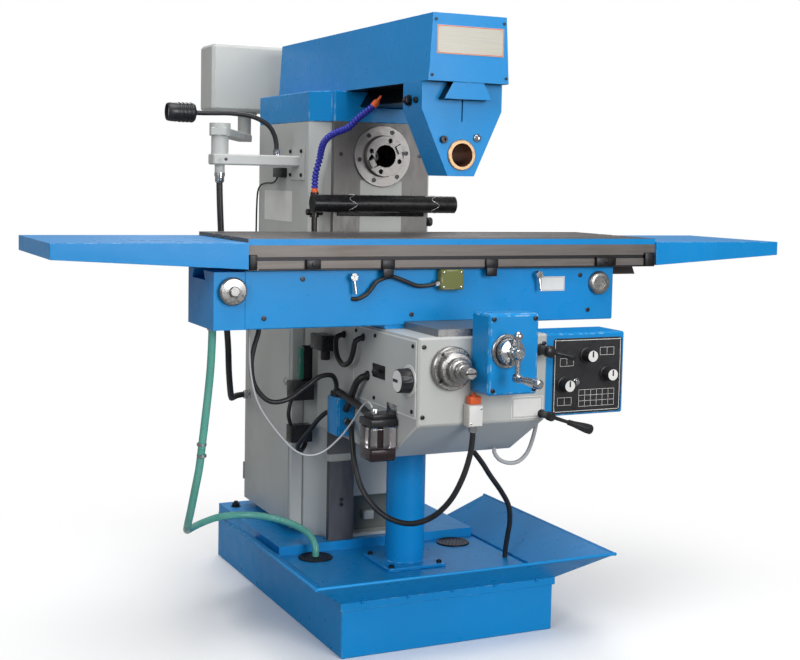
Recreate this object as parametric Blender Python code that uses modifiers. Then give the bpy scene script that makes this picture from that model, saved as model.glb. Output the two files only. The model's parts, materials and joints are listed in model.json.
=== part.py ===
"""A horizontal knee-type milling machine at its real size, in metres, +Z up.

X runs along the table, Y from the operator (-Y) to the column (+Y).  The origin lies on the floor,
under the spindle axis, in the plane of the column's front guideway.
"""
import math

import bmesh
import bpy
from mathutils import Matrix, Vector

# ---- Clearances -------------------------------------------------------------------------------
GAP = 0.0003                 # between faces that rest on each other
SLIDING = 0.0005             # all round, in a guideway

# ---- Base, tray and drains --------------------------------------------------------------------
BASE_HALF_WIDTH = 0.341
BASE_FRONT_Y = -0.544
BASE_REAR_Y = 0.589
BASE_TOP_Z = 0.158
BASE_WALL = 0.022
FOOT_TOP_Z = 0.186           # raised pad that the column stands on
FOOT_FRONT_Y = -0.030
LIP_REACH = 0.130            # how far the tray's rim flares out
LIP_RISE = 0.090
TRAY_SHEET = 0.005
TRAY_REAR_Y = 0.200
LIP_REAR_Y = 0.122
DRAIN_X = 0.240
DRAIN_Y = -0.088
DRAIN_RADIUS = 0.0475

# ---- Column -----------------------------------------------------------------------------------
COLUMN_HALF_WIDTH = 0.213
COLUMN_REAR_Y = 0.560
COLUMN_TOP_Z = 1.512
CAP_TOP_Z = 1.607
GUIDE_HALF_WIDTH = 0.163     # the vertical guideway
GUIDE_DEPTH = 0.022
GUIDE_NECK = 0.148
CHAMFER_Y = 0.092
COLUMN_WALL = 0.030
GEARBOX_FRONT_Y = 0.100
GEARBOX_FLOOR_Z = 1.200
MOTOR_ROOM_FRONT_Y = 0.085
MOTOR_ROOM_TOP_Z = 1.160
REAR_DOOR = (0.140, 0.300, 1.050)      # half width, low and high
DOOR_OVERLAP = 0.020
DOOR_THICKNESS = 0.014
POCKET_HALF_WIDTH = 0.080    # recess in the column's foot, behind the screw post
POCKET_DEPTH = 0.045
POCKET_Z = (0.196, 0.320)
CABINET_OUTER_X = -0.257
CABINET_FRONT_Y = 0.100
CABINET_Z = (0.206, 1.100)
CABINET_SHEET = 0.005

# ---- Spindle and drive ------------------------------------------------------------------------
SPINDLE_Z = 1.407
NOSE_RADIUS = 0.0643
NOSE_FACE = 0.031            # in front of the guideway
SOCKET_RADIUS = 0.0349
SOCKET_DEPTH = 0.100
TAPER = 7 / 24
DRAWBAR_RADIUS = 0.0135
FRONT_JOURNAL = 0.050
REAR_JOURNAL = 0.030
FRONT_BEARING_RADIUS = 0.0847
REAR_BEARING_RADIUS = 0.0497
FLANGE_RADIUS = 0.097
FLANGE_PROUD = 0.010
KEY_ANGLE = math.radians(27)
GEAR_MODULE = 0.004
BULL_TEETH = 44
PINION_TEETH = 16
GEAR_Y = 0.250
GEAR_WIDTH = 0.035
GEAR_SEAT = 0.040
DRIVE_SHAFT_RADIUS = 0.0125
PULLEY_RADIUS = 0.050
PULLEY_Y = 0.470
PULLEY_WIDTH = 0.045
BELT_THICKNESS = 0.008
MOTOR_Z = 0.400
MOTOR_RADIUS = 0.125

# ---- Overarm and arbor support ----------------------------------------------------------------
OVERARM_FRONT_Y = -0.581
OVERARM_REAR_Y = 0.612
OVERARM_TOP_Z = 1.793
OVERARM_HALF_TOP = 0.115
OVERARM_HALF_BOTTOM = 0.126
OVERARM_WALL = 0.030
DOVETAIL_DEPTH = 0.047
DOVETAIL_FOOT = 0.075        # half width at its foot
DOVETAIL_NECK = 0.048
SUPPORT_FRONT_Y = -0.543
SUPPORT_REAR_Y = -0.420
SUPPORT_SHOULDER_Z = 1.532
SUPPORT_BOTTOM_Z = 1.348
SUPPORT_BOTTOM_HALF = 0.042
SLIT_HALF_WIDTH = 0.002      # lets the support clamp on the overarm's dovetail
SLIT_BOTTOM_Z = 1.500
BUSH_OUTER = 0.043
BUSH_BORE = 0.031

# ---- Knee and its fittings --------------------------------------------------------------------
KNEE_HALF_WIDTH = 0.200
KNEE_FRONT_Y = -0.708
KNEE_TOP_Z = 0.915
KNEE_FRONT_BOTTOM_Z = 0.674
KNEE_BOTTOM_Z = 0.554
KNEE_SLOPE_Y = -0.518
KNEE_WALL = 0.024
KNEE_CHEEK = 0.018           # how far the cheeks reach past the guideway's face
KNEE_GUIDE_HALF = 0.140      # the strip that guides the saddle
KNEE_GUIDE_HEIGHT = 0.020
POST_Y = -0.225
POST_RADIUS = 0.060
POST_BORE = 0.046
POST_TOP_Z = 0.535
POST_PLATE_HALF = 0.096
POST_PLATE_THICKNESS = 0.010
SCREW_RADIUS = 0.021
SCREW_BOTTOM_Z = 0.280
NUT_FLANGE_RADIUS = 0.054
NUT_FLANGE_THICKNESS = 0.015
DIAL_X, DIAL_Z = -0.104, 0.831
GEARBOX_X = (-0.043, 0.110)
GEARBOX_Z = (0.765, 0.985)
GEARBOX_DEPTH = 0.102
CRANK_X, CRANK_Z = 0.010, 0.885
CRANK_ARM = 0.065
CRANK_SHAFT_RADIUS = 0.016
CONTROL_RIGHT_X = 0.468
CONTROL_FRONT_Y = -0.692
CONTROL_DEPTH = 0.132
CONTROL_Z = (0.676, 0.912)
KNOB_RADIUS = 0.023
KNOB_LENGTH = 0.038
FEED_KNOBS = ((0.339, 0.848), (0.408, 0.792), (0.265, 0.766))
SELECTOR_Y, SELECTOR_Z = -0.658, 0.794
SELECTOR_RADIUS = 0.036
LUBRICATOR_Y = (-0.592, -0.510)
LUBRICATOR_Z = (0.560, 0.690)
LUBRICATOR_DEPTH = 0.085
JUNCTION_Y = (-0.285, -0.205)
JUNCTION_Z = (0.575, 0.690)
JUNCTION_DEPTH = 0.053

# ---- Saddle -----------------------------------------------------------------------------------
SADDLE_LEFT_X = -0.615
SADDLE_RIGHT_X = 0.560
SADDLE_FRONT_Y = -0.490
SADDLE_BEAM_REAR_Y = -0.250
SADDLE_REAR_Y = -0.085
SADDLE_BEAM_BOTTOM_Z = 0.925
SADDLE_END_X = -0.700
SADDLE_WALL = 0.025
CLAMP_Z = 1.064
CLAMPS_X = (-0.306, 0.286)
TABLE_DIAL_X, TABLE_DIAL_Z = -0.650, 1.030
TABLE_DIAL_RADIUS = 0.038

# ---- Table ------------------------------------------------------------------------------------
TABLE_LEFT_X = -0.613
TABLE_RIGHT_X = 0.696
TABLE_FRONT_Y = -0.510
TABLE_REAR_Y = -0.060
TABLE_TOP_Z = 1.171
TABLE_BOTTOM_Z = 1.085
TABLE_LIP = 0.015
GUTTER_WIDTH = 0.045
GUTTER_DEPTH = 0.012
SLOT_PITCH = 0.080
SLOT_NECK = 0.018
SLOT_NECK_DEPTH = 0.018
SLOT_HEAD = 0.030
SLOT_HEAD_DEPTH = 0.012
WAY_Y = -0.350               # centre of the table's dovetail
WAY_DEPTH = 0.030
WAY_FOOT = 0.060
WAY_NECK = 0.040
LEAD_CHANNEL = 0.022
LEAD_RADIUS = 0.013
LEAD_Z = 1.070
LEAD_NUT_HALF = 0.040
DOG_GROOVE_Z = (1.111, 1.121)           # in the front rail, for the travel stops
DOG_GROOVE_DEPTH = 0.010
TRAY_END_LEFT_X = -1.131
TRAY_END_RIGHT_X = 1.168
TRAY_TOP_Z = 1.160
TRAY_END_HEIGHT = 0.042
TRAY_WALL = 0.004
TRAY_OVERHANG = 0.008

# ---- Guard, swinging arm, lamp and coolant ----------------------------------------------------
GUARD_X = (-0.171, -0.086)
GUARD_DEPTH = 0.022
GUARD_SHEET = 0.005
GUARD_TOP_Z = 0.440
ARM_Y = 0.180
ARM_PIVOT_X = -0.476
ARM_Z = (1.370, 1.404)
ARM_HALF = 0.030
ARM_BOSS_RADIUS = 0.027
ARM_BOSS_TOP_Z = 1.460
ARM_PLATE_Z = (1.327, 1.434)
ARM_PLATE_THICKNESS = 0.008
SWING_POST_X, SWING_POST_Y = -0.192, 0.790
LINK_TOP_Z = 1.486
LINK_HALF = 0.025
LINK_HUB_RADIUS = 0.033
LINK_POST_RADIUS = 0.024
PENDANT_BOTTOM_Z = 1.565
PENDANT_TOP_Z = 1.800
PENDANT_HALF = (0.145, 0.075)
PENDANT_WALL = 0.007
LAMP_TUBE_RADIUS = 0.008
STAND_X, STAND_Y = -0.215, 0.028
STAND_PIPE_RADIUS = 0.009
STAND_LOW_Z = 1.060
STAND_TOP_Z = 1.290
STAND_BRACKET_Z = 1.090
VALVE_Z = (1.212, 1.248)
VALVE_TEE_Z = 1.228
HOSE_SOCKET_Z = 1.274
ROLL_RADIUS = 0.0275
ROLL_HALF_LENGTH = 0.245
ROLL_Z = 1.257

# ---- Routes of the hoses and conduits ---------------------------------------------------------
LAMP_ROUTE = (
    (-0.288, 0.180, 1.4045), (-0.289, 0.180, 1.440), (-0.296, 0.180, 1.468), (-0.312, 0.180, 1.494),
    (-0.340, 0.180, 1.513), (-0.380, 0.180, 1.526), (-0.440, 0.180, 1.5315), (-0.500, 0.180, 1.5300),
    (-0.530, 0.180, 1.529), (-0.553, 0.180, 1.529),
)
COOLANT_ROUTE = (
    (-0.215, 0.028, 1.2905), (-0.214, 0.025, 1.345), (-0.206, 0.012, 1.394), (-0.205, -0.012, 1.440),
    (-0.190, -0.045, 1.468), (-0.156, -0.095, 1.490), (-0.139, -0.134, 1.519), (-0.112, -0.184, 1.554),
    (-0.099, -0.202, 1.580),
)
POWER_ROUTE = (
    (-0.476, 0.180, 1.3440), (-0.476, 0.180, 1.300), (-0.472, 0.180, 1.200), (-0.463, 0.181, 1.050),
    (-0.451, 0.183, 0.900), (-0.440, 0.190, 0.800), (-0.428, 0.215, 0.710), (-0.405, 0.270, 0.640),
    (-0.375, 0.350, 0.602), (-0.345, 0.430, 0.586), (-0.310, 0.485, 0.583), (-0.280, 0.500, 0.583),
    (-0.2576, 0.500, 0.583),
)
RETURN_UPPER_ROUTE = (
    (-0.668, -0.375, 0.9245), (-0.668, -0.375, 0.900), (-0.669, -0.374, 0.860), (-0.671, -0.370, 0.800),
    (-0.676, -0.362, 0.720), (-0.681, -0.350, 0.640), (-0.684, -0.338, 0.580),
)
RETURN_LOWER_ROUTE = (
    (-0.684, -0.338, 0.5795), (-0.687, -0.325, 0.520), (-0.690, -0.300, 0.460), (-0.690, -0.260, 0.390),
    (-0.682, -0.200, 0.330), (-0.660, -0.120, 0.293), (-0.622, -0.040, 0.277), (-0.570, 0.025, 0.272),
    (-0.500, 0.075, 0.272), (-0.430, 0.090, 0.268), (-0.365, 0.080, 0.262), (-0.310, 0.045, 0.252),
    (-0.268, 0.000, 0.238), (-0.247, -0.048, 0.222), (-0.240, -0.078, 0.200), (-0.240, -0.088, 0.182),
    (-0.240, -0.088, 0.1637),
)
SWITCH_ROUTE = (
    (-0.040, -0.7245, 0.6690), (-0.040, -0.724, 0.640), (-0.042, -0.716, 0.590), (-0.050, -0.690, 0.520),
    (-0.066, -0.650, 0.450), (-0.094, -0.600, 0.395), (-0.132, -0.545, 0.366), (-0.172, -0.490, 0.370),
    (-0.206, -0.445, 0.400), (-0.229, -0.405, 0.450), (-0.238, -0.378, 0.510), (-0.238, -0.358, 0.565),
    (-0.233, -0.336, 0.603), (-0.228, -0.308, 0.620), (-0.228, -0.2858, 0.620),
)


# ---- Collections and finishes -----------------------------------------------------------------
for old in list(bpy.data.objects):
    bpy.data.objects.remove(old, do_unlink=True)


def new_collection(name):
    made = bpy.data.collections.new(name)
    bpy.context.scene.collection.children.link(made)
    return made


PARTS = new_collection("milling_machine")
CUTTERS = new_collection("cutters")

FINISHES = {
    "blue_paint": ((0.012, 0.215, 0.610), 0.35, 0.0),
    "grey_paint": ((0.530, 0.550, 0.540), 0.45, 0.0),
    "machined_steel": ((0.330, 0.310, 0.300), 0.35, 0.9),
    "dark_steel": ((0.060, 0.060, 0.068), 0.50, 0.8),
    "chrome": ((0.620, 0.630, 0.640), 0.12, 1.0),
    "bronze": ((0.560, 0.300, 0.110), 0.35, 0.9),
    "black_plastic": ((0.012, 0.012, 0.014), 0.40, 0.0),
    "black_rubber": ((0.014, 0.014, 0.018), 0.55, 0.0),
    "clear_plastic": ((0.300, 0.260, 0.270), 0.15, 0.0),
    "green_hose": ((0.070, 0.360, 0.300), 0.25, 0.0),
    "blue_plastic": ((0.030, 0.025, 0.260), 0.35, 0.0),
    "olive_enamel": ((0.150, 0.160, 0.050), 0.45, 0.0),
    "switch_plastic": ((0.560, 0.480, 0.420), 0.45, 0.0),
    "motor_grey": ((0.150, 0.160, 0.170), 0.50, 0.2),
}
MATERIALS = {}


def material(finish):
    if finish not in MATERIALS:
        colour, roughness, metallic = FINISHES[finish]
        made = bpy.data.materials.new(finish)
        made.use_nodes = True
        shader = made.node_tree.nodes["Principled BSDF"]
        shader.inputs["Base Color"].default_value = (*colour, 1.0)
        shader.inputs["Roughness"].default_value = roughness
        shader.inputs["Metallic"].default_value = metallic
        MATERIALS[finish] = made
    return MATERIALS[finish]


# ---- Shapes -----------------------------------------------------------------------------------
def place(obj, finish):
    """Put an object among the parts with its finish, or among the cutters without one."""
    if finish is None:
        CUTTERS.objects.link(obj)
        obj.hide_render = True
        obj.display_type = "WIRE"
    else:
        PARTS.objects.link(obj)
        obj.data.materials.append(material(finish))
    return obj


def from_bmesh(name, bm, finish=None):
    bmesh.ops.recalc_face_normals(bm, faces=bm.faces)
    mesh = bpy.data.meshes.new(name)
    bm.to_mesh(mesh)
    bm.free()
    mesh.shade_smooth()
    mesh.set_sharp_from_angle(angle=math.radians(35))
    return place(bpy.data.objects.new(name, mesh), finish)


def bevelled(obj, width, segments=1):
    bevel = obj.modifiers.new("rounded", "BEVEL")
    bevel.width = width
    bevel.segments = segments
    bevel.limit_method = "ANGLE"
    return obj


def box(name, low, high, finish=None, bevel=0.0):
    bm = bmesh.new()
    bmesh.ops.create_cube(bm, size=1.0)
    size = Vector(high) - Vector(low)
    bmesh.ops.scale(bm, vec=size, verts=bm.verts)
    bmesh.ops.translate(bm, vec=Vector(low) + size / 2, verts=bm.verts)
    obj = from_bmesh(name, bm, finish)
    return bevelled(obj, bevel) if bevel else obj


def rod(name, start, end, radius, finish=None, sides=20, end_radius=None):
    start, end = Vector(start), Vector(end)
    bm = bmesh.new()
    bmesh.ops.create_cone(
        bm, cap_ends=True, segments=sides, radius1=radius,
        radius2=radius if end_radius is None else end_radius, depth=(end - start).length)
    turn = (end - start).to_track_quat("Z", "Y").to_matrix().to_4x4()
    bmesh.ops.transform(bm, matrix=Matrix.Translation((start + end) / 2) @ turn, verts=bm.verts)
    return from_bmesh(name, bm, finish)


def ball(name, centre, radius, finish=None):
    bm = bmesh.new()
    bmesh.ops.create_uvsphere(bm, u_segments=10, v_segments=6, radius=radius)
    bmesh.ops.translate(bm, vec=Vector(centre), verts=bm.verts)
    return from_bmesh(name, bm, finish)


OUTWARDS = {
    "+Z": Matrix.Identity(4),
    "-Y": Matrix.Rotation(math.radians(90), 4, "X"),
    "-X": Matrix.Rotation(math.radians(-90), 4, "Y"),
}


def turned(name, profile, origin, axis, finish=None, ring=False, steps=24):
    """Turn (radius, height) points, listed from the top down the outer side, about an axis."""
    bm = bmesh.new()
    points = [bm.verts.new((radius, 0.0, height)) for radius, height in profile]
    for first, second in zip(points, points[1:]):
        bm.edges.new((first, second))
    if ring:
        bm.edges.new((points[-1], points[0]))
    mesh = bpy.data.meshes.new(name)
    bm.to_mesh(mesh)
    bm.free()
    obj = place(bpy.data.objects.new(name, mesh), finish)
    obj.matrix_world = Matrix.Translation(origin) @ OUTWARDS[axis]
    screw = obj.modifiers.new("turned", "SCREW")
    screw.steps = steps
    screw.render_steps = steps
    screw.use_merge_vertices = True
    screw.merge_threshold = 0.00001
    return obj


PLANES = {
    "XY": (Vector((1, 0, 0)), Vector((0, 1, 0)), Vector((0, 0, 1))),
    "XZ": (Vector((1, 0, 0)), Vector((0, 0, 1)), Vector((0, -1, 0))),
    "YZ": (Vector((0, 1, 0)), Vector((0, 0, 1)), Vector((1, 0, 0))),
}


DRAWING_SCALE = 20           # outlines are filled at this size, because the fill merges near points


def flat(name, outline, low, high, plane, finish=None, holes=()):
    """Fill an outline and give it thickness, from low to high along the plane's third axis."""
    curve = bpy.data.curves.new(name, "CURVE")
    curve.dimensions = "2D"
    curve.fill_mode = "BOTH"
    curve.extrude = DRAWING_SCALE * (high - low) / 2
    for loop in (outline, *holes):
        spline = curve.splines.new("POLY")
        spline.points.add(len(loop) - 1)
        for point, (u, v) in zip(spline.points, loop):
            point.co = (DRAWING_SCALE * u, DRAWING_SCALE * v, 0.0, 1.0)
        spline.use_cyclic_u = True
    drawn = bpy.data.objects.new(name + "_outline", curve)
    CUTTERS.objects.link(drawn)
    mesh = bpy.data.meshes.new_from_object(drawn.evaluated_get(bpy.context.evaluated_depsgraph_get()))
    bpy.data.objects.remove(drawn, do_unlink=True)
    first, second, normal = PLANES[plane]
    turn = Matrix((first, second, normal)).transposed().to_4x4()
    third = Vector([abs(part) for part in normal])
    bm = bmesh.new()
    bm.from_mesh(mesh)
    bmesh.ops.scale(bm, vec=Vector((1, 1, 1)) / DRAWING_SCALE, verts=bm.verts)
    bmesh.ops.remove_doubles(bm, verts=bm.verts, dist=0.00001)
    bmesh.ops.transform(bm, matrix=Matrix.Translation(third * (low + high) / 2) @ turn, verts=bm.verts)
    bpy.data.meshes.remove(mesh)
    return from_bmesh(name, bm, finish)


def smooth_route(points, spacing):
    """Points about one spacing apart on a smooth curve through the given points."""
    points = [Vector(point) for point in points]
    ends = [2 * points[0] - points[1], *points, 2 * points[-1] - points[-2]]
    route = [points[0]]
    for before, start, end, after in zip(ends, ends[1:], ends[2:], ends[3:]):
        count = max(1, round((end - start).length / spacing))
        for step in range(1, count + 1):
            t = step / count
            route.append(0.5 * (2 * start + (end - before) * t
                                + (2 * before - 5 * start + 4 * end - after) * t ** 2
                                + (3 * start - before - 3 * end + after) * t ** 3))
    return route


def tube(name, points, radius, finish, sides_level=2):
    curve = bpy.data.curves.new(name, "CURVE")
    curve.dimensions = "3D"
    curve.bevel_depth = radius
    curve.bevel_resolution = sides_level
    curve.use_fill_caps = True
    curve.render_resolution_u = 0
    route = smooth_route(points, 3.4 * radius)
    spline = curve.splines.new("POLY")
    spline.points.add(len(route) - 1)
    for point, place_at in zip(spline.points, route):
        point.co = (*place_at, 1.0)
    return place(bpy.data.objects.new(name, curve), finish)


def combine(obj, operation, others):
    for other in others:
        change = obj.modifiers.new(other.name, "BOOLEAN")
        change.operation = operation
        change.solver = "EXACT"
        change.object = other
    return obj


def cut(obj, *cutters):
    return combine(obj, "DIFFERENCE", cutters)


def join(obj, *additions):
    return combine(obj, "UNION", additions)


def mirrored(outline):
    """Complete an outline that runs down its +X side with its mirror image."""
    return [*outline, *[(-u, v) for u, v in reversed(outline)]]


def dovetail(name, top_z, depth, foot, neck, start, end, clearance=0.0, finish=None):
    """A dovetail along Y that hangs under top_z, wider at its foot."""
    grown = clearance * 1.2
    outline = mirrored([
        (neck + grown, top_z + 0.001), (neck + grown, top_z), (foot + grown, top_z - depth - clearance)])
    return flat(name, outline, start, end, "XZ", finish)


# ---- Base -------------------------------------------------------------------------------------
def make_base():
    base = box("base", (-BASE_HALF_WIDTH, BASE_FRONT_Y, 0.0), (BASE_HALF_WIDTH, BASE_REAR_Y, BASE_TOP_Z),
               "blue_paint", 0.003)
    join(base, box("base_foot", (-BASE_HALF_WIDTH + 0.002, FOOT_FRONT_Y, BASE_TOP_Z - 0.01),
                   (BASE_HALF_WIDTH - 0.002, BASE_REAR_Y - 0.002, FOOT_TOP_Z)))
    cut(base, box("base_tank", (-BASE_HALF_WIDTH + BASE_WALL, BASE_FRONT_Y + BASE_WALL, BASE_WALL),
                  (BASE_HALF_WIDTH - BASE_WALL, BASE_REAR_Y - BASE_WALL, BASE_TOP_Z - BASE_WALL)))
    for side, word in ((-1, "left"), (1, "right")):
        at = Vector((side * DRAIN_X, DRAIN_Y, 0.0))
        up = Vector((0, 0, BASE_TOP_Z))
        cut(base, rod("drain_bore_" + word, at + up * 0.6, at + up * 1.1, DRAIN_RADIUS))
        make_drain_cover(word, at)


def make_drain_cover(word, at):
    """A round strainer that drops into the drain, with its rim on the tray floor."""
    rim = DRAIN_RADIUS + 0.006
    plug = DRAIN_RADIUS - 0.001
    profile = [(0, 0.005), (rim - 0.002, 0.005), (rim, 0.003), (rim, GAP), (plug, GAP), (plug, -0.012),
               (0, -0.012)]
    turned("drain_cover_" + word, profile, at + Vector((0, 0, BASE_TOP_Z)), "+Z", "dark_steel", steps=28)


def make_chip_tray():
    """Sheet rim round three sides: a flange down the base's outside, then a wall that flares out."""
    clear = TRAY_SHEET + GAP
    rows = []
    for out, level, rear in ((clear, BASE_TOP_Z - 0.020, TRAY_REAR_Y), (clear, BASE_TOP_Z + 0.002, TRAY_REAR_Y),
                             (LIP_REACH, BASE_TOP_Z + LIP_RISE, LIP_REAR_Y)):
        half = BASE_HALF_WIDTH + out
        front = BASE_FRONT_Y - out
        rows.append([(-half, rear, level), (-half, front, level), (half, front, level), (half, rear, level)])
    bm = bmesh.new()
    line = [bm.verts.new(point) for point in rows[0]]
    edges = [bm.edges.new(pair) for pair in zip(line, line[1:])]
    for row in rows[1:]:
        grown = bmesh.ops.extrude_edge_only(bm, edges=edges)["geom"]
        edges = [item for item in grown if isinstance(item, bmesh.types.BMEdge)
                 and all(vert not in line for vert in item.verts)]
        line = order_like(line, {vert for edge in edges for vert in edge.verts})
        for vert, point in zip(line, row):
            vert.co = point
    tray = from_bmesh("chip_tray", bm, "blue_paint")
    sheet = tray.modifiers.new("sheet", "SOLIDIFY")
    sheet.thickness = TRAY_SHEET
    sheet.offset = -1.0
    sheet.use_even_offset = True


def order_like(line, fresh):
    """Extruded vertices lie on the ones they came from, so match them by place."""
    return [min(fresh, key=lambda vert: (vert.co - old.co).length) for old in line]


# ---- Column -----------------------------------------------------------------------------------
def column_outline(guide):
    front = [(GUIDE_HALF_WIDTH, 0.0), (GUIDE_HALF_WIDTH, GUIDE_DEPTH), (GUIDE_NECK, GUIDE_DEPTH + 0.015),
             (GUIDE_HALF_WIDTH, GUIDE_DEPTH + 0.022)]
    if not guide:
        front = [(GUIDE_HALF_WIDTH, 0.0), (GUIDE_HALF_WIDTH, GUIDE_DEPTH)]
    return mirrored([*front, (COLUMN_HALF_WIDTH, CHAMFER_Y), (COLUMN_HALF_WIDTH, COLUMN_REAR_Y)])


def bore_y(name, x, z, radius, start, end, sides=40):
    return rod(name, (x, start, z), (x, end, z), radius, sides=sides)


def make_column():
    inner = COLUMN_HALF_WIDTH - COLUMN_WALL
    rear = COLUMN_REAR_Y - COLUMN_WALL
    pinion_z = SPINDLE_Z - centre_distance()
    door_half, door_low, door_high = REAR_DOOR
    column = flat("column", column_outline(True), FOOT_TOP_Z + GAP, COLUMN_TOP_Z, "XY", "grey_paint")
    cut(column,
        box("motor_room", (-inner, MOTOR_ROOM_FRONT_Y, FOOT_TOP_Z + 0.034), (inner, rear, MOTOR_ROOM_TOP_Z)),
        box("gear_room", (-inner, GEARBOX_FRONT_Y, GEARBOX_FLOOR_Z), (inner, rear, COLUMN_TOP_Z + 0.02)),
        box("belt_way", (-0.08, PULLEY_Y - 0.02, MOTOR_ROOM_TOP_Z - 0.01), (0.08, rear, GEARBOX_FLOOR_Z + 0.01)),
        box("door_way", (-door_half, rear - 0.01, door_low), (door_half, COLUMN_REAR_Y + 0.01, door_high)),
        box("front_pocket", (-POCKET_HALF_WIDTH, -0.01, POCKET_Z[0]),
            (POCKET_HALF_WIDTH, POCKET_DEPTH, POCKET_Z[1])),
        bore_y("front_bore", 0, SPINDLE_Z, FRONT_BEARING_RADIUS + GAP, -0.01, GEARBOX_FRONT_Y + 0.01),
        bore_y("rear_bore", 0, SPINDLE_Z, REAR_BEARING_RADIUS + GAP, rear - 0.01, COLUMN_REAR_Y + 0.01),
        bore_y("shaft_seat_front", 0, pinion_z, DRIVE_SHAFT_RADIUS + GAP, GEARBOX_FRONT_Y - 0.03,
               GEARBOX_FRONT_Y + 0.01, 24),
        bore_y("shaft_seat_rear", 0, pinion_z, DRIVE_SHAFT_RADIUS + GAP, rear - 0.01, rear + 0.018, 24))
    cover_half = door_half + DOOR_OVERLAP
    box("rear_cover", (-cover_half, COLUMN_REAR_Y + GAP, door_low - DOOR_OVERLAP),
        (cover_half, COLUMN_REAR_Y + DOOR_THICKNESS, door_high + DOOR_OVERLAP), "grey_paint", 0.003)
    low, high = CABINET_Z
    end_sheet = CABINET_SHEET + 0.001
    cabinet = box("electric_cabinet", (CABINET_OUTER_X, CABINET_FRONT_Y, low),
                  (-COLUMN_HALF_WIDTH - GAP, COLUMN_REAR_Y, high), "grey_paint", 0.004)
    cut(cabinet, box("cabinet_room",
                     (CABINET_OUTER_X + CABINET_SHEET, CABINET_FRONT_Y + end_sheet, low + end_sheet),
                     (-COLUMN_HALF_WIDTH + 0.01, COLUMN_REAR_Y - end_sheet, high - end_sheet)))


def make_column_cap():
    cap = flat("column_cap", column_outline(False), COLUMN_TOP_Z + GAP, CAP_TOP_Z, "XY", "blue_paint")
    cut(cap, dovetail("cap_slot", CAP_TOP_Z, DOVETAIL_DEPTH, DOVETAIL_FOOT, DOVETAIL_NECK, -0.01,
                      COLUMN_REAR_Y + 0.01, SLIDING))


# ---- Spindle and drive ------------------------------------------------------------------------
def centre_distance():
    return GEAR_MODULE * (BULL_TEETH + PINION_TEETH) / 2


def gear_outline(teeth, centre_z, first_tooth):
    """Straight-flanked teeth with clearance at their tips and flanks."""
    pitch_radius = GEAR_MODULE * teeth / 2
    pitch = 2 * math.pi / teeth
    corners = ((-0.34, -1.15), (-0.13, 0.75), (0.13, 0.75), (0.34, -1.15))
    outline = []
    for tooth in range(teeth):
        for along, height in corners:
            angle = first_tooth + (tooth + along) * pitch
            radius = pitch_radius + height * GEAR_MODULE
            outline.append((radius * math.cos(angle), centre_z + radius * math.sin(angle)))
    return outline


def circle(radius, centre_z, sides=48):
    steps = [2 * math.pi * step / sides for step in range(sides)]
    return [(radius * math.cos(angle), centre_z + radius * math.sin(angle)) for angle in steps]


def make_spindle():
    """The nose, its taper socket and keys, the journals and the drawbar bore are one turned piece."""
    socket_end = SOCKET_RADIUS - SOCKET_DEPTH * TAPER / 2
    rear = -(COLUMN_REAR_Y - 0.004)
    behind_gear = -(GEAR_Y + GEAR_WIDTH + 0.012)
    profile = [
        (SOCKET_RADIUS, NOSE_FACE), (NOSE_RADIUS, NOSE_FACE), (NOSE_RADIUS, GAP), (FRONT_JOURNAL, GAP),
        (FRONT_JOURNAL, -0.110), (0.045, -0.110), (0.045, -(GEAR_Y - 0.002)), (GEAR_SEAT, -(GEAR_Y - 0.002)),
        (GEAR_SEAT, behind_gear), (0.035, behind_gear), (0.035, rear + 0.030), (REAR_JOURNAL, rear + 0.030),
        (REAR_JOURNAL, rear), (DRAWBAR_RADIUS, rear), (DRAWBAR_RADIUS, NOSE_FACE - SOCKET_DEPTH),
        (socket_end, NOSE_FACE - SOCKET_DEPTH)]
    spindle = turned("spindle", profile, (0, 0, SPINDLE_Z), "-Y", "machined_steel", ring=True, steps=32)
    for number, angle in enumerate((KEY_ANGLE, KEY_ANGLE + math.pi)):
        key = box(f"drive_key_{number}", (0.042, -NOSE_FACE - 0.009, -0.0125),
                  (0.0615, -NOSE_FACE + 0.004, 0.0125))
        key.matrix_world = Matrix.Translation((0, 0, SPINDLE_Z)) @ Matrix.Rotation(-angle, 4, "Y")
        join(spindle, key)
    for number in range(4):
        angle = math.radians(72 + 90 * number)
        x, z = 0.0508 * math.cos(angle), SPINDLE_Z + 0.0508 * math.sin(angle)
        cut(spindle, bore_y(f"nose_hole_{number}", x, z, 0.0072, -NOSE_FACE - 0.01, -NOSE_FACE + 0.016, 12))
    ring_on_spindle("front_bearing", FRONT_JOURNAL + GAP, FRONT_BEARING_RADIUS, 0.020, 0.085, "machined_steel")
    ring_on_spindle("rear_bearing", REAR_JOURNAL + GAP, REAR_BEARING_RADIUS, COLUMN_REAR_Y - 0.029,
                    COLUMN_REAR_Y - 0.005, "machined_steel")
    ring_on_spindle("spindle_flange", NOSE_RADIUS + 0.0008, FLANGE_RADIUS, -FLANGE_PROUD, -GAP, "machined_steel")


def ring_on_spindle(name, inner, outer, start, end, finish):
    profile = [(inner, -start), (outer, -start), (outer, -end), (inner, -end)]
    return turned(name, profile, (0, 0, SPINDLE_Z), "-Y", finish, ring=True, steps=32)


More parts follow.
